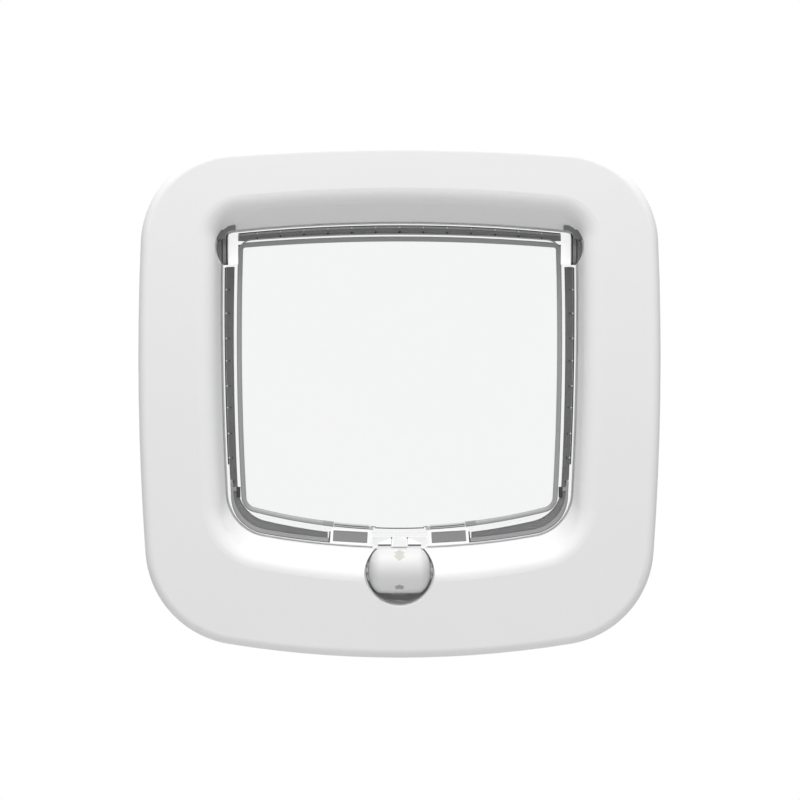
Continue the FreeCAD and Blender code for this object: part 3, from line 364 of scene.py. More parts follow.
def foot_rail(x0, x1, offset, width, back, front):
    """A thin rail with rounded edges along the foot of the bead, from x0 to x1."""
    radius = BEAD.foot_r
    centre = radius - BEAD.bottom
    count = max(3, int(abs(x1 - x0)) + 2)
    points = []
    for i in range(count):
        x = x0 + (x1 - x0) * i / (count - 1)
        across = x / radius
        direction = (across, -math.sqrt(1 - across * across))
        points.append((x, centre + radius * direction[1], direction))
    half = width / 2
    round_off = min(half, back - front) * 0.4
    return sweep(points, [
        (offset - half, back),
        (offset - half, front + round_off),
        (offset - half + round_off, front),
        (offset + half - round_off, front),
        (offset + half, front + round_off),
        (offset + half, back),
    ])


def pip(x, z, front, radius):
    """A small round pin whose end is chamfered."""
    count = 10
    length = 0.9
    chamfer = 0.5
    tip = 0.6
    ring = [
        (x + radius * math.cos(2 * math.pi * k / count), z + radius * math.sin(2 * math.pi * k / count))
        for k in range(count)
    ]
    return skin([
        [(px, front + length, pz) for px, pz in ring],
        [(px, front + radius * chamfer, pz) for px, pz in ring],
        [(x + (px - x) * tip, front, z + (pz - z) * tip) for px, pz in ring],
    ])


def tilted(part, angle, x, z):
    """The part turned in the XZ plane about a point."""
    corners, faces = part
    c = math.cos(angle)
    s = math.sin(angle)
    turned = [
        (x + (cx - x) * c - (cz - z) * s, cy, z + (cx - x) * s + (cz - z) * c)
        for cx, cy, cz in corners
    ]
    return turned, faces


def mirrored(part):
    """The part's mirror image in the plane x = 0."""
    corners, faces = part
    return [(-x, y, z) for x, y, z in corners], [tuple(reversed(face)) for face in faces]


def on_side(part, side):
    """The part as it is for the right side, or mirrored for the left."""
    return part if side > 0 else mirrored(part)


def joined(parts):
    """Several parts as one."""
    corners = []
    faces = []
    for more, polygons in parts:
        base = len(corners)
        corners.extend(more)
        faces.extend(tuple(base + i for i in polygon) for polygon in polygons)
    return corners, faces


def both_sides(parts):
    """The parts and their mirror images, joined."""
    return joined(parts + [mirrored(part) for part in parts])


def new_piece(name, part, body, smooth=True):
    """A mesh object made of a part, with its faces turned outward, riding on a body."""
    corners, faces = part
    mesh = bpy.data.meshes.new(name)
    mesh.from_pydata([(x * MM, y * MM, z * MM) for x, y, z in corners], [], faces)
    mesh.validate()
    shell = bmesh.new()
    shell.from_mesh(mesh)
    bmesh.ops.recalc_face_normals(shell, faces=shell.faces)
    shell.to_mesh(mesh)
    shell.free()
    mesh.update()
    for polygon in mesh.polygons:
        polygon.use_smooth = smooth
    piece = bpy.data.objects.new(name, mesh)
    bpy.context.scene.collection.objects.link(piece)
    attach(piece, body)
    return piece


def add_bevel(piece, width):
    """Rounds a piece's edges with a bevel that is applied at once."""
    modifier = piece.modifiers.new("Rounding", "BEVEL")
    modifier.width = width
    modifier.segments = 3
    modifier.limit_method = "ANGLE"
    modifier.angle_limit = math.radians(30)
    graph = bpy.context.evaluated_depsgraph_get()
    applied = bpy.data.meshes.new_from_object(piece.evaluated_get(graph))
    old = piece.data
    piece.modifiers.clear()
    piece.data = applied
    bpy.data.meshes.remove(old)


# Materials

def math_node(tree, operation, first, second):
    """The output of a math node whose inputs are sockets or numbers."""
    node = tree.nodes.new("ShaderNodeMath")
    node.operation = operation
    for socket, value in zip(node.inputs, (first, second)):
        if isinstance(value, bpy.types.NodeSocket):
            tree.links.new(value, socket)
        else:
            socket.default_value = value
    return node.outputs[0]


def moulded_surface():
    """A node group with the fine texture, mottling and uneven gloss of a moulded piece."""
    found = bpy.data.node_groups.get("Moulded Surface")
    if found:
        return found
    group = bpy.data.node_groups.new("Moulded Surface", "ShaderNodeTree")
    sockets = (
        ("INPUT", "NodeSocketColor", "Color", (0.8, 0.8, 0.8, 1.0)),
        ("INPUT", "NodeSocketFloat", "Mottle", 0.02),
        ("INPUT", "NodeSocketFloat", "Grain Scale", 2000.0),
        ("INPUT", "NodeSocketFloat", "Gloss Low", 0.35),
        ("INPUT", "NodeSocketFloat", "Gloss High", 0.5),
        ("OUTPUT", "NodeSocketColor", "Color", None),
        ("OUTPUT", "NodeSocketFloat", "Roughness", None),
        ("OUTPUT", "NodeSocketFloat", "Height", None),
    )
    for way, kind, name, default in sockets:
        socket = group.interface.new_socket(name=name, in_out=way, socket_type=kind)
        if default is not None:
            socket.default_value = default
    nodes = group.nodes
    links = group.links
    source = nodes.new("NodeGroupInput")
    result = nodes.new("NodeGroupOutput")
    place = nodes.new("ShaderNodeTexCoord")
    broad = nodes.new("ShaderNodeTexNoise")
    broad.inputs["Scale"].default_value = 28.0
    broad.inputs["Detail"].default_value = 4.0
    links.new(place.outputs["Object"], broad.inputs["Vector"])
    fine = nodes.new("ShaderNodeTexNoise")
    fine.inputs["Detail"].default_value = 2.0
    links.new(place.outputs["Object"], fine.inputs["Vector"])
    links.new(source.outputs["Grain Scale"], fine.inputs["Scale"])
    centred = math_node(group, "SUBTRACT", broad.outputs["Fac"], 0.5)
    amount = math_node(group, "MULTIPLY", centred, source.outputs["Mottle"])
    tint = nodes.new("ShaderNodeVectorMath")
    tint.operation = "SCALE"
    links.new(source.outputs["Color"], tint.inputs[0])
    links.new(math_node(group, "ADD", amount, 1.0), tint.inputs["Scale"])
    links.new(tint.outputs[0], result.inputs["Color"])
    gloss = nodes.new("ShaderNodeMapRange")
    gloss.inputs["From Min"].default_value = 0.3
    gloss.inputs["From Max"].default_value = 0.7
    links.new(broad.outputs["Fac"], gloss.inputs["Value"])
    links.new(source.outputs["Gloss Low"], gloss.inputs["To Min"])
    links.new(source.outputs["Gloss High"], gloss.inputs["To Max"])
    links.new(gloss.outputs["Result"], result.inputs["Roughness"])
    links.new(fine.outputs["Fac"], result.inputs["Height"])
    return group


def new_material(name):
    """A material with a bare shader, and that shader."""
    material = bpy.data.materials.new(name)
    material.use_nodes = True
    material.node_tree.nodes.clear()
    shader = material.node_tree.nodes.new("ShaderNodeBsdfPrincipled")
    output = material.node_tree.nodes.new("ShaderNodeOutputMaterial")
    material.node_tree.links.new(shader.outputs["BSDF"], output.inputs["Surface"])
    return material, shader


def moulded_material(name, colour, mottle, gloss, relief, grain=None, plain=None):
    """A finish with the mould's texture.

    The gloss is its lowest and highest roughness, and the relief's depth and the grain's size are
    in metres. The plain values are set on the shader's own sockets.
    """
    material, shader = new_material(name)
    nodes = material.node_tree.nodes
    links = material.node_tree.links
    surface = nodes.new("ShaderNodeGroup")
    surface.node_tree = moulded_surface()
    surface.inputs["Color"].default_value = tuple(colour)
    surface.inputs["Mottle"].default_value = mottle
    surface.inputs["Grain Scale"].default_value = 1.0 / (grain or sizes().grain_size)
    surface.inputs["Gloss Low"].default_value = gloss[0]
    surface.inputs["Gloss High"].default_value = gloss[1]
    links.new(surface.outputs["Color"], shader.inputs["Base Color"])
    links.new(surface.outputs["Roughness"], shader.inputs["Roughness"])
    bump = nodes.new("ShaderNodeBump")
    bump.inputs["Strength"].default_value = 1.0
    bump.inputs["Distance"].default_value = relief
    links.new(surface.outputs["Height"], bump.inputs["Height"])
    links.new(bump.outputs["Normal"], shader.inputs["Normal"])
    shader.inputs["IOR"].default_value = 1.5
    for socket, value in (plain or {}).items():
        shader.inputs[socket].default_value = value
    return material


def toned(colour, share):
    """A colour made darker or paler by a share."""
    return (colour[0] * share, colour[1] * share, colour[2] * share, 1.0)


def white_material(name, gloss, relief, share=1.0):
    return moulded_material(name, toned(colours().white, share), 0.02, gloss, relief)


def gray_material(name, share):
    return moulded_material(name, toned(colours().gray, share), 0.06, (0.35, 0.5), 6e-6, 6e-4)


# The pile's colour is made paler on the top and lower strips by their share: painted light against the shade
# there.
def pile_material(name, part, plain=None):
    colour = toned(colours().pile, PILE_PAINTED_LIGHT[part])
    return moulded_material(name, colour, 0.25, (0.85, 1.0), 2e-5, 4e-4, plain)


def glowing_white(name, level, strength):
    """White plastic with a little emission: painted light that makes a part in shade look bright, though it
    is no lamp.
    """
    plain = {"Emission Color": (1.0, 1.0, 1.0, 1.0), "Emission Strength": strength}
    return moulded_material(name, (level, level, level, 1.0), 0.01, (0.5, 0.6), 1e-6, 1e-3, plain)


def assign(material, *pieces):
    for piece in pieces:
        mesh = piece.data
        mesh.materials.clear()
        mesh.materials.append(material)


# Operators, one for each piece or group of like pieces

class CATFLAP_OT_mouldings(bpy.types.Operator):
    """Gives the white mouldings their plastic, and the barrel its softened edges"""
    bl_idname = "catflap.mouldings"
    bl_label = "White Mouldings"

    def execute(self, context):
        bezel = white_material("satin_white_plastic", (0.42, 0.55), 4e-6)
        assign(bezel, NODES["inner_bezel"], NODES["outer_frame"])
        inner = white_material("inner_white_plastic", (0.45, 0.6), 5e-6, 0.98)
        assign(inner, NODES["inner_frame"], NODES["slide_cover"])
        # The barrel's white is painted a tenth darker than the frames': painted shade that damps the strong
        # light on its top.
        barrel = white_material("barrel_white_painted_shade", (0.5, 0.62), 2e-6, 0.9)
        body = new_piece("barrel_body", self.barrel(), "barrel")
        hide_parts("lock_barrel")
        assign(barrel, body)
        slippery = white_material("slide_white_plastic", (0.3, 0.4), 2e-6, 0.95)
        assign(slippery, NODES["lock_slide"], NODES["lock_shaft"])
        return {"FINISHED"}

    @staticmethod
    def barrel():
        """The barrel turned about its axis, with a soft edge between its round and its ball ends."""
        ball = 13.6
        edge_start = 6.4
        edge_end = 11.6
        end = 13.45
        edge_rows = 12
        ball_rows = 8
        count = 96
        drop = math.sqrt(ball * ball - edge_end * edge_end)
        slope = -edge_end / drop
        profile = [(0.0, BARREL_RADIUS), (edge_start, BARREL_RADIUS)]
        for i in range(1, edge_rows + 1):
            t = i / edge_rows
            x = edge_start + (edge_end - edge_start) * t
            rise = 2 * t ** 3 - 3 * t ** 2 + 1
            tilt = (t ** 3 - t ** 2) * (edge_end - edge_start) * slope
            profile.append((x, BARREL_RADIUS * rise + drop * (1 - rise) + tilt))
        for i in range(1, ball_rows + 1):
            x = edge_end + (end - edge_end) * i / ball_rows
            profile.append((x, math.sqrt(ball * ball - x * x)))
        profile = [(-x, r) for x, r in reversed(profile[1:])] + profile
        angles = [2 * math.pi * k / count for k in range(count)]
        return skin([
            [(x, BARREL_Y + r * math.cos(a), BARREL_Z + r * math.sin(a)) for a in angles]
            for x, r in profile
        ])


class CATFLAP_OT_bushes(bpy.types.Operator):
    """Gives the hinge bushes their gray plastic, painted 1.6 times paler as painted light, since they lie in
    shade
    """
    bl_idname = "catflap.bushes"
    bl_label = "Hinge Bushes"

    def execute(self, context):
        gray = gray_material("gray_bush_painted_paler", 1.6)
        assign(gray, NODES["hinge_bush_left"], NODES["hinge_bush_right"])
        return {"FINISHED"}


class CATFLAP_OT_metals(bpy.types.Operator):
    """Gives the pins, the screws, the spring leaf and the magnets their metal"""
    bl_idname = "catflap.metals"
    bl_label = "Pins, Screws and Magnets"

    def execute(self, context):
        steel = moulded_material(
            "zinc_plated_steel", colours().steel, 0.08, (0.25, 0.4), 3e-6, 3e-4, {"Metallic": 1.0}
        )
        assign(
            steel, NODES["hinge_pin_left"], NODES["hinge_pin_right"], NODES["fixing_screws"],
            NODES["lock_screws"], NODES["detent_leaf"],
        )
        magnet = moulded_material(
            "plated_magnet", colours().magnet, 0.1, (0.4, 0.55), 8e-6, 4e-4, {"Metallic": 0.3}
        )
        assign(
            magnet, NODES["flap_magnet_left"], NODES["flap_magnet_right"],
            NODES["sill_magnet_left"], NODES["sill_magnet_right"],
        )
        return {"FINISHED"}


class CATFLAP_OT_clear_flap(bpy.types.Operator):
    """Gives the flap its clear plastic"""
    bl_idname = "catflap.clear_flap"
    bl_label = "Clear Flap"

    def execute(self, context):
        plain = {"IOR": 1.49, "Transmission Weight": 1.0}
        clear = moulded_material(
            "clear_flap_plastic", colours().clear, 0.01, (0.02, 0.05), 1e-6, 4e-3, plain
        )
        assign(clear, NODES["flap"])
        return {"FINISHED"}


class CATFLAP_OT_window_bead(bpy.types.Operator):
    """Adds the gray bead that frames the window"""
    bl_idname = "catflap.window_bead"
    bl_label = "Window Bead"

    def execute(self, context):
        half = sizes().bead_width / MM / 2
        end = sizes().bead_end / MM
        top = PANEL_FRONT - sizes().bead_height / MM
        middle = 1.3
        foot_level = -40
        section = [
            (-half, IN_PANEL),
            (-half, top + 0.75),
            (-half + 0.25, top + 0.45),
            (half - 0.75, top + 0.04),
            (half - 0.35, top),
            (half - 0.05, top + 0.2),
            (half, top + 0.5),
            (half, IN_PANEL),
        ]
        kept = run(grown(BEAD, middle), lambda p: p[1] > foot_level or abs(p[0]) > end, 0.5)
        gray = moulded_material("gray_bead_plastic", colours().bead, 0.08, (0.3, 0.45), 5e-6, 8e-4)
        assign(gray, new_piece("window_bead", sweep(kept, section), "flap"))
        return {"FINISHED"}


class CATFLAP_OT_seal_pile(bpy.types.Operator):
    """Replaces each seal strip with a backing and its tufts of pile"""
    bl_idname = "catflap.seal_pile"
    bl_label = "Sealing Pile"

    first_seed = 7
    scatter = 0.25
    width_share = 0.62
    least_height = 0.65
    lean = 0.3
    third_turn = 2.0944

    def execute(self, context):
        # Each strip's pile gets its own copy of the material, painted paler where the strip lies in shade:
        # painted light.
        materials = {
            part: pile_material("gray_pile_painted_light_" + part, part, {"Sheen Weight": 0.3})
            for part in PILE_PAINTED_LIGHT
        }
        for index, (name, part) in enumerate(SEALS.items()):
            random.seed(index + self.first_seed)
            source = NODES[name].data
            corners = [tuple(c / MM for c in v.co) for v in source.vertices]
            faces = [tuple(p.vertices) for p in source.polygons]
            low, high = ([v / MM for v in corner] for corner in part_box(name))
            tufts = self.tufts(corners, faces, low, high)
            pile = joined([(corners, faces)] + tufts)
            piece = new_piece(name.replace("strip", "pile"), pile, "flap", False)
            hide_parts(name)
            assign(materials[part], piece)
        return {"FINISHED"}

    @classmethod
    def tufts(cls, corners, faces, low, high):
        """Tufts in scattered rows on the side of a strip that faces the room."""
        pitch = sizes().tuft_pitch / MM
        height = sizes().tuft_height / MM
        tree = BVHTree.FromPolygons([Vector(c) for c in corners], faces)
        rows = int((high[2] - low[2]) / pitch) + 1
        columns = int((high[0] - low[0]) / pitch) + 1
        tufts = []
        for r in range(rows):
            for c in range(columns):
                shift = 0.5 * (r % 2)
                x = low[0] + (c + shift + random.uniform(-cls.scatter, cls.scatter)) * pitch
                z = low[2] + (r + random.uniform(-cls.scatter, cls.scatter)) * pitch
                hit = tree.ray_cast(Vector((x, STRIP_FRONT - 2.0, z)), Vector((0, 1, 0)))[0]
                if hit is None:
                    continue
                tall = height * random.uniform(cls.least_height, 1.0)
                tufts.append(cls.tuft(x, hit.y, z, pitch * cls.width_share, tall))
        return tufts

    @classmethod
    def tuft(cls, x, y, z, radius, height):
        """A leaning pyramid with three sides, whose foot is sunk into the backing."""
        sunk = 0.03
        turn = random.uniform(0, 2 * math.pi)
        lean_x = random.uniform(-cls.lean, cls.lean) * radius
        lean_z = random.uniform(-cls.lean, cls.lean) * radius
        angles = [turn + k * cls.third_turn for k in range(3)]
        base = [(x + radius * math.cos(a), y + sunk, z + radius * math.sin(a)) for a in angles]
        return base + [(x + lean_x, y - height, z + lean_z)], [(0, 1, 3), (1, 2, 3), (2, 0, 3)]


class CATFLAP_OT_seal_pips(bpy.types.Operator):
    """Adds the small pips and pinholes that hold the seals in their channel; the pinholes are small dark
    pins, painted shade for the holes
    """
    bl_idname = "catflap.seal_pips"
    bl_label = "Seal Pips"

    def execute(self, context):
        radius = sizes().pip_radius / MM
        pip_front = STRIP_FRONT - 0.85
        pips = []
        holes = []
        edge = outline_points(grown(FLAP, -1.3), 0.3)
        for z in SIDE_PIPS:
            x = min((p for p in edge if p[0] > 0), key=lambda p: abs(p[1] - z))[0]
            pips.append(pip(x, z, pip_front, radius))
            holes.append(pip(x - 1.35, z, STRIP_FRONT - 0.62, radius * 0.8))
        for x in TOP_PIPS:
            z = min((p for p in edge if p[1] > 60), key=lambda p: abs(p[0] - x))[1]
            pips.append(pip(x, z, pip_front, radius * 0.9))
            holes.append(pip(x, z - 2.1, STRIP_FRONT - 0.75, radius))
        white = white_material("pip_white_plastic", (0.35, 0.5), 2e-6)
        assign(white, new_piece("seal_pips", both_sides(pips), "flap"))
        # Painted shade: the pinholes' darkness is a dark colour on small pins.
        dark = moulded_material("pinhole_painted_shade", colours().shade, 0.1, (0.8, 1.0), 5e-6, 4e-4)
        assign(dark, new_piece("seal_pinholes", both_sides(holes), "flap"))
        return {"FINISHED"}


class CATFLAP_OT_seal_edges(bpy.types.Operator):
    """Adds the pile that laps over the flap's rim, and the dark lines along it and at its joints, which are
    painted shade for the gaps there
    """
    bl_idname = "catflap.seal_edges"
    bl_label = "Seal Edges"

    def execute(self, context):
        side = run(FLAP, lambda p: p[0] > 0 and -28 < p[1] < 58)
        lower = run(FLAP, lambda p: p[0] > 30.6 and p[1] < -34)
        top = run(FLAP, lambda p: p[1] > 60 and abs(p[0]) < 70.3)
        inner = run(WINDOW, lambda p: p[1] > 60 and abs(p[0]) < 66.0)
        foot_line = tilted(block(30.0, 30.55, 7.3, ON_RIM, -61.5, -56.7), math.radians(4.5), 30.2, -59.0)
        lines = [band(side, -0.85, 0.6, LINE_FRONT), self.lap(lower, None, 0.26, LINE_FRONT), foot_line]
        edges = joined([both_sides(lines), band(top, -0.68, 0.42, LINE_FRONT)])
        notch = both_sides([block(68.9, 70.6, LINE_FRONT, 7.6, -42.0, -37.4)])
        # Painted shade: the dark lines and joint blocks stand for the shade in the gaps beside the strips.
        dark = moulded_material("seal_gap_painted_shade", colours().shade, 0.1, (0.7, 0.9), 4e-6, 4e-4)
        assign(dark, new_piece("seal_edges", edges, "flap", False))
        cover = block(70.3, 73.1, 7.58, 8.3, -39.2, -37.4)
        lower_lap = both_sides([self.lap(lower, -2.3, 0.0, LAP_FRONT), cover])
        # The lapping pile takes the lower and top strips' paler colours: painted light.
        pile = pile_material("seal_flange_lower_pile", "lower")
        assign(pile, new_piece("seal_flange_lower", lower_lap, "flap", False))
        assign(dark, new_piece("seal_joints", notch, "flap", False))
        top_lap = joined([band(top, -1.32, 0.86, LAP_FRONT), band(inner, 3.4, 0.6, LAP_FRONT)])
        pile = pile_material("seal_flange_top_pile", "top")
        assign(pile, new_piece("seal_flange_top", top_lap, "flap", False))
        return {"FINISHED"}

    @staticmethod
    def lap(points, start, width, front):
        """A strip on the lower rim, along the edge of the seal that laps over it.

        The edge swings outward below the turn. The strip starts at an offset, or at the edge where
        that is None, and ends past the edge by a width that grows as the edge swings outward.
        """
        turn_level = -40.0
        turn_height = 11.0
        side_edge = -1.3
        swing = 0.75
        overlap = 0.02
        rows = []
        for x, z, direction in points:
            share = min(1.0, max(0.0, (turn_level - z) / turn_height))
            edge = side_edge + swing * share
            first = edge if start is None else start
            last = edge + width * share + overlap
            section = ((first, ON_RIM), (first, front), (last, front), (last, ON_RIM))
            rows.append([(x + direction[0] * out, y, z + direction[1] * out) for out, y in section])
        return skin(rows)


class CATFLAP_OT_foot_trim(bpy.types.Operator):
    """Adds the rails and clips along the window's foot, between the ends of its bead"""
    bl_idname = "catflap.foot_trim"
    bl_label = "Foot Trim"

    def execute(self, context):
        near = 13.2
        far = 28.2
        middle = 1.25
        rail_front = 7.6
        in_rail = 7.62
        rails = [
            foot_rail(near, far, middle, 1.95, IN_PANEL, rail_front),
            foot_rail(11.3, near, 1.5, 1.7, IN_PANEL, rail_front),
        ]
        lines = [
            foot_rail(near, far, middle, 0.3, in_rail, FLAP_FRONT),
            foot_rail(near, far, 2.1, 0.25, in_rail, FLAP_FRONT),
            foot_rail(10.3, 12.0, 1.0, 0.3, in_rail, FLAP_FRONT),
        ]
        centre = foot_rail(-10.5, 10.5, 1.45, 0.42, IN_PANEL, 8.0)
        clips = [foot_rail(28.4, 32.9, middle, 2.3, IN_PANEL, FLAP_FRONT)]
        paler = toned(colours().bead, 1.7)
        pale = moulded_material("pale_rail_plastic", paler, 0.1, (0.35, 0.5), 1e-5, 6e-4)
        assign(pale, new_piece("bead_rails", both_sides(rails), "flap", False))
        dark = moulded_material("dark_rail_plastic", colours().shade, 0.08, (0.35, 0.5), 5e-6, 8e-4)
        lines_part = joined([both_sides(lines), centre])
        assign(dark, new_piece("bead_lines", lines_part, "flap"))
        gray = moulded_material("gray_clip_plastic", colours().bead, 0.3, (0.35, 0.5), 2e-5, 6e-4)
        assign(gray, new_piece("bead_clips", both_sides(clips), "flap", False))
        return {"FINISHED"}


class CATFLAP_OT_magnet_faces(bpy.types.Operator):
    """Adds the magnets' plates with the white frames that hold them, and the tongue's face; the frames and
    the face glow a little, as painted light
    """
    bl_idname = "catflap.magnet_faces"
    bl_label = "Magnet Faces"

    near = 13.85
    far = 28.8
    low = -61.4
    high = -56.6
    bottom = -62.3
    top = -55.75
    plate_gap = 0.02
    frame_front = 7.15
    plate_front = 7.32

    def execute(self, context):
        # Painted light: the frames and the tongue's face glow so that they look white in shade.
        white = glowing_white("magnet_frame_glowing_plastic", 0.85, 0.2)
        metal = NODES["flap_magnet_left"].data.materials[0]
        bars = [
            self.bar(12.2, self.near, self.bottom, self.top),
            self.bar(self.far, 29.9, self.bottom, self.top),
            self.bar(self.near, self.far, self.high, self.top),
            self.bar(self.near, self.far, self.bottom, self.low),
        ]
        plate = block(
            self.near + self.plate_gap, self.far - self.plate_gap, self.plate_front, ON_RIM,
            self.low + self.plate_gap, self.high - self.plate_gap,
        )
        for name, side in SIDES:
            part = on_side(self.leaning(joined(bars)), side)
            assign(white, new_piece("magnet_frame_" + name, part, "flap", False))
            part = on_side(self.leaning(plate), side)
            assign(metal, new_piece("magnet_plate_" + name, part, "flap", False))
        face = block(-2.5, 2.5, 7.2, ON_RIM, -61.9, -58.6)
        assign(white, new_piece("tongue_face", face, "flap", False))
        return {"FINISHED"}

    @classmethod
    def bar(cls, x0, x1, z0, z1):
        return block(x0, x1, cls.frame_front, ON_RIM, z0, z1)

    @staticmethod
    def leaning(part):
        """The part turned in line with the flap's curved foot."""
        return tilted(part, math.radians(3.3), 21.3, -59.0)


class CATFLAP_OT_sill_guards(bpy.types.Operator):
    """Adds the screens, bright faces, dark gaps and pins of the guard teeth beside the tongue; the screens
    and faces glow a little as painted light, and the gaps are dark sheets of painted shade
    """
    bl_idname = "catflap.sill_guards"
    bl_label = "Sill Guards"

    def execute(self, context):
        near = 3.72
        far = 9.28
        tooth_back = 2.19
        screens = [block(3.3, 11.7, 4.46, 4.6, -63.9, -58.95)]
        teeth = [prism([(near, -62.15), (far, -62.15), (far, -62.0), (near, -59.52)], tooth_back, 2.08)]
        gaps = [block(near, far, 2.04, tooth_back, -62.75, -62.2)]
        pins = [pip(3.4, -59.4, 4.1, 0.36)]
        # Painted light: the screens glow faintly and the tooth faces glow more, so that they look white in
        # shade.
        pale = glowing_white("screen_glowing_plastic", 0.80, 0.09)
        assign(pale, new_piece("guard_screens", both_sides(screens), "frame", False))
        bright = glowing_white("tooth_glowing_plastic", 0.85, 0.36)
        assign(bright, new_piece("tooth_faces", both_sides(teeth), "frame", False))
        # Painted shade: thin dark sheets stand for the shade in the gaps below the teeth.
        dark = moulded_material("gap_painted_shade", colours().shade, 0.1, (0.7, 0.9), 2e-6, 5e-4)
        assign(dark, new_piece("tooth_gaps", both_sides(gaps), "frame", False))
        gray = moulded_material("guard_pin_plastic", colours().gray, 0.1, (0.5, 0.6), 2e-6, 5e-4)
        assign(gray, new_piece("guard_pins", both_sides(pins), "frame"))
        return {"FINISHED"}


class CATFLAP_OT_corners(bpy.types.Operator):
    """Adds the flap's white corner blocks, which glow as painted light, the hinge bushes' hoods and rims, in
    grays painted darker and paler for the light on them, and dark seams that are painted shade
    """
    bl_idname = "catflap.corners"
    bl_label = "Corners"

    def execute(self, context):
        # Painted light: the corner blocks glow to look white in the recess's shade; the hood's gray is
        # painted darker because it is lit more, and the rim's paler because it lies in shade.
        white = glowing_white("corner_glowing_plastic", 0.85, 0.5)
        hood_gray_painted_darker = gray_material("gray_hood_painted_darker", 0.75)
        rim_gray_painted_paler = gray_material("gray_rim_painted_paler", 1.15)
        # Painted shade: the seams are dark strips standing for the shade in the gap beside the bushes.
        dark = moulded_material("bush_seam_painted_shade", colours().shade, 0.06, (0.6, 0.8), 2e-6, 6e-4)
        corner = prism(
            [
                (69.9, 58.95), (74.2, 58.95), (74.2, 70.4), (73.9, 71.2), (73.3, 71.75),
                (72.4, 72.0), (69.9, 72.1),
            ],
            ON_RIM, FLAP_FRONT - 0.35,
        )
        hood = prism(
            [
                (70.65, 73.4), (72.7, 73.1), (74.0, 72.5), (74.7, 71.5), (75.0, 70.4),
                (75.1, 69.5), (76.9, 69.5), (76.9, 69.3), (78.9, 69.3), (78.4, 70.9),
                (77.3, 73.0), (75.6, 74.5), (73.6, 75.2), (70.65, 75.3),
            ],
            -0.6, -6.0,
        )
        rim = prism(self.rim_outline(), 6.0, 2.4)
        seam = self.seam(74.42, 75.0, 7.23)
        for name, side in SIDES:
            part = on_side(corner, side)
            assign(white, new_piece("flap_corner_" + name, part, "flap", False))
            part = on_side(hood, side)
            piece = new_piece("bush_hood_" + name, part, "frame", False)
            add_bevel(piece, 0.9 * MM)
            assign(hood_gray_painted_darker, piece)
            part = on_side(rim, side)
            assign(rim_gray_painted_paler, new_piece("bush_rim_" + name, part, "frame", False))
            part = on_side(seam, side)
            assign(dark, new_piece("bush_seam_painted_shade_" + name, part, "frame"))
        return {"FINISHED"}

    @staticmethod
    def rim_outline():
        """An arc round the bush, cut off straight beside the flap."""
        inner = 76.95
        centre = 67.8
        radius = 11.35
        arc = [
            (centre + radius * math.cos(math.radians(a)), HINGE_Z + radius * math.sin(math.radians(a)))
            for a in range(-36, 18, 3)
        ]
        return [(inner, 59.3)] + arc + [(inner, 69.4)]

    @staticmethod
    def seam(x0, x1, radius):
        """A narrow strip bent round the hinge's axis, on the side that faces the room."""
        inner = radius - 0.1
        steps = 36
        first = -80
        sweep_angle = 160
        rows = []
        for i in range(steps + 1):
            a = math.radians(first + sweep_angle * i / steps)
            rows.append([
                (x, HINGE_Y - r * math.cos(a), HINGE_Z + r * math.sin(a))
                for x, r in ((x0, inner), (x0, radius), (x1, radius), (x1, inner))
            ])
        return skin(rows)


class CATFLAP_OT_barrel_signs(bpy.types.Operator):
    """Prints the two arrows that show on the barrel"""
    bl_idname = "catflap.barrel_signs"
    bl_label = "Barrel Signs"

    def execute(self, context):
        two_way = [(0.0, -3.45), (2.72, -0.9), (1.74, -0.9), (1.74, 0.9), (2.72, 0.9), (0.0, 3.45)]
        one_way = [(1.74, -1.35), (1.74, 0.15), (2.55, 0.15), (0.0, 1.45)]
        # The arrow on the barrel's lower side is inked darker than the upper one (0.6 against 0.9): painted
        # shade for that shaded side.
        signs = (("sign_both_ways", two_way, 48.0, 0.9), ("sign_out", one_way, -44.0, 0.6))
        for name, half, middle, share in signs:
            piece = new_piece(name, self.printed(half, middle), "barrel")
            ink = toned(colours().sign, share)
            assign(moulded_material(name + "_ink", ink, 0.03, (0.5, 0.65), 1e-6, 5e-4), piece)
        return {"FINISHED"}

    @classmethod
    def printed(cls, half, middle):
        """A sign laid on the barrel: half its outline as (x, arc length) corners, and its middle's angle."""
        radius = BARREL_RADIUS + 0.02
        row_height = 0.2
        nudge = 1e-4
        levels = sorted({v for x, v in half})
        rows = []
        for low, high in zip(levels, levels[1:]):
            steps = max(1, int((high - low) / row_height))
            for i in range(steps + 1):
                v = low + (high - low) * i / steps
                inside = v + (nudge if i == 0 else -nudge if i == steps else 0.0)
                rows.append((v, cls.width_at(half, inside)))
        corners = []
        for v, width in rows:
            angle = math.radians(middle) + v / radius
            y = BARREL_Y - radius * math.cos(angle)
            z = BARREL_Z + radius * math.sin(angle)
            corners.extend([(-width, y, z), (width, y, z)])
        faces = []
        for i in range(len(rows) - 1):
            if rows[i + 1][0] - rows[i][0] > 1e-6:
                faces.append((2 * i, 2 * i + 1, 2 * i + 3, 2 * i + 2))
        return corners, faces

    @staticmethod
    def width_at(half, v):
        """Half the sign's width at an arc length."""
        for (x0, v0), (x1, v1) in zip(half, half[1:]):
            if min(v0, v1) <= v <= max(v0, v1) and v0 != v1:
                return x0 + (x1 - x0) * (v - v0) / (v1 - v0)
        return 0.0


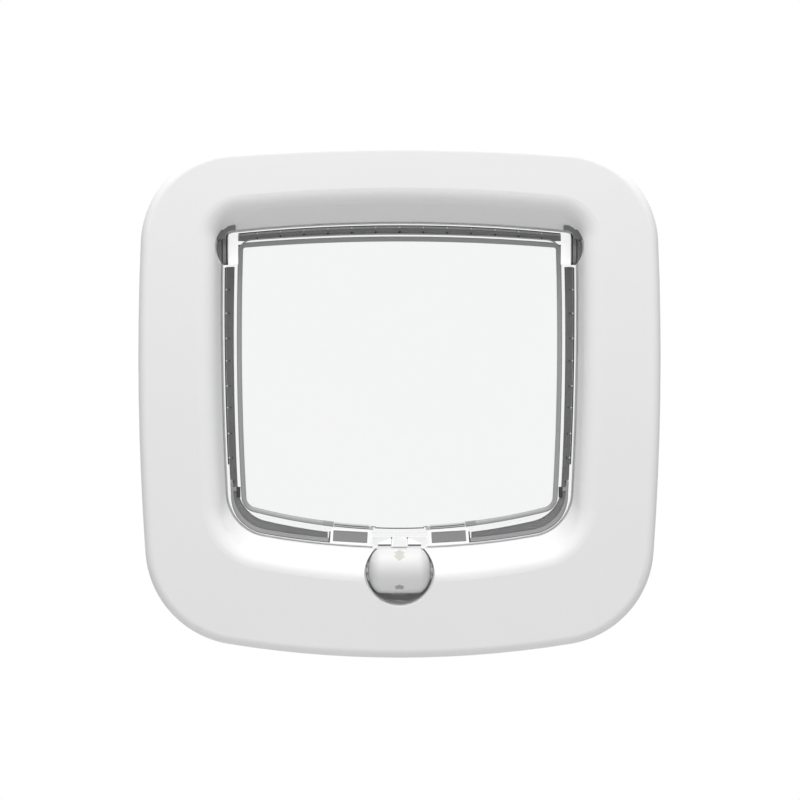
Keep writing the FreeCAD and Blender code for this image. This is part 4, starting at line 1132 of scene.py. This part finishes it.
class CATFLAP_OT_stage(bpy.types.Operator):
    """Sets the floor, the lights, the background and the camera"""
    bl_idname = "catflap.stage"
    bl_label = "Stage"

    def execute(self, context):
        scene = context.scene
        scene.view_settings.view_transform = "Standard"
        self.floor(scene)
        self.background(scene)
        self.lamp(scene, "key_light", (0.0, -1.53, 1.29), 9.0, 1.5)
        self.lamp(scene, "top_light", (0.0, -0.30, 0.85), 7.0, 0.6)
        self.camera(scene)
        return {"FINISHED"}

    @staticmethod
    def floor(scene):
        level = -0.30
        half = 3
        front = -2.2
        back = 1.3
        corners = [(-half, front, level), (half, front, level), (half, back, level), (-half, back, level)]
        mesh = bpy.data.meshes.new("floor")
        mesh.from_pydata(corners, [], [(0, 1, 2, 3)])
        floor = bpy.data.objects.new("floor", mesh)
        scene.collection.objects.link(floor)
        material, shader = new_material("pale_floor")
        shader.inputs["Base Color"].default_value = (0.8, 0.8, 0.8, 1.0)
        shader.inputs["Roughness"].default_value = 0.9
        mesh.materials.append(material)

    @staticmethod
    def background(scene):
        """White where it is seen straight, in gloss or through glass, and soft light elsewhere."""
        world = bpy.data.worlds.new("studio")
        scene.world = world
        world.use_nodes = True
        tree = world.node_tree
        tree.nodes.clear()
        rays = tree.nodes.new("ShaderNodeLightPath").outputs
        seen = math_node(tree, "MAXIMUM", rays["Is Camera Ray"], rays["Is Transmission Ray"])
        mix = tree.nodes.new("ShaderNodeMixShader")
        tree.links.new(math_node(tree, "MAXIMUM", seen, rays["Is Glossy Ray"]), mix.inputs["Fac"])
        for index, strength in ((1, 0.40), (2, 1.0)):
            light = tree.nodes.new("ShaderNodeBackground")
            light.inputs["Color"].default_value = (1.0, 1.0, 1.0, 1.0)
            light.inputs["Strength"].default_value = strength
            tree.links.new(light.outputs["Background"], mix.inputs[index])
        output = tree.nodes.new("ShaderNodeOutputWorld")
        tree.links.new(mix.outputs["Shader"], output.inputs["Surface"])

    @staticmethod
    def lamp(scene, name, place, power, size):
        """A square lamp that points at the origin."""
        light = bpy.data.lights.new(name, "AREA")
        light.shape = "SQUARE"
        light.size = size
        light.energy = power
        lamp = bpy.data.objects.new(name, light)
        scene.collection.objects.link(lamp)
        lamp.location = place
        lamp.rotation_euler = (-Vector(place)).to_track_quat("-Z", "Y").to_euler()

    @staticmethod
    def camera(scene):
        """A camera straight in front, whose picture is as wide as the photograph at the origin."""
        distance = 2.0
        picture_width = 0.34528
        half_pixel = 0.000216
        view = bpy.data.cameras.new("camera")
        view.sensor_width = 36.0
        view.lens = view.sensor_width * distance / picture_width
        view.clip_start = 0.05
        view.clip_end = 20.0
        camera = bpy.data.objects.new("camera", view)
        scene.collection.objects.link(camera)
        camera.location = (half_pixel, -distance, half_pixel)
        camera.rotation_euler = (math.radians(90), 0.0, 0.0)
        scene.camera = camera


class CATFLAP_PT_panel(bpy.types.Panel):
    """Lists the sizes, the colours and the operators"""
    bl_idname = "CATFLAP_PT_panel"
    bl_label = "Cat Flap"
    bl_space_type = "VIEW_3D"
    bl_region_type = "UI"
    bl_category = "Cat Flap"

    def draw(self, context):
        layout = self.layout
        for group in (sizes(), colours()):
            column = layout.column()
            for name in group.__annotations__:
                column.prop(group, name)
        for operator in OPERATORS:
            layout.operator(operator.bl_idname)


OPERATORS = (
    CATFLAP_OT_mouldings,
    CATFLAP_OT_bushes,
    CATFLAP_OT_metals,
    CATFLAP_OT_clear_flap,
    CATFLAP_OT_window_bead,
    CATFLAP_OT_seal_pile,
    CATFLAP_OT_seal_pips,
    CATFLAP_OT_seal_edges,
    CATFLAP_OT_foot_trim,
    CATFLAP_OT_magnet_faces,
    CATFLAP_OT_sill_guards,
    CATFLAP_OT_corners,
    CATFLAP_OT_barrel_signs,
    CATFLAP_OT_stage,
)
CLASSES = (CatFlapSizes, CatFlapColours) + OPERATORS + (CATFLAP_PT_panel,)


def register():
    for cls in CLASSES:
        bpy.utils.register_class(cls)
    bpy.types.Scene.cat_flap_sizes = bpy.props.PointerProperty(type=CatFlapSizes)
    bpy.types.Scene.cat_flap_colours = bpy.props.PointerProperty(type=CatFlapColours)


def unregister():
    del bpy.types.Scene.cat_flap_colours
    del bpy.types.Scene.cat_flap_sizes
    for cls in reversed(CLASSES):
        bpy.utils.unregister_class(cls)


def main():
    register()
    bpy.ops.catflap.mouldings()
    bpy.ops.catflap.bushes()
    bpy.ops.catflap.metals()
    bpy.ops.catflap.clear_flap()
    bpy.ops.catflap.window_bead()
    bpy.ops.catflap.seal_pile()
    bpy.ops.catflap.seal_pips()
    bpy.ops.catflap.seal_edges()
    bpy.ops.catflap.foot_trim()
    bpy.ops.catflap.magnet_faces()
    bpy.ops.catflap.sill_guards()
    bpy.ops.catflap.corners()
    bpy.ops.catflap.barrel_signs()
    bpy.ops.catflap.stage()


if __name__ == "__main__":
    main()
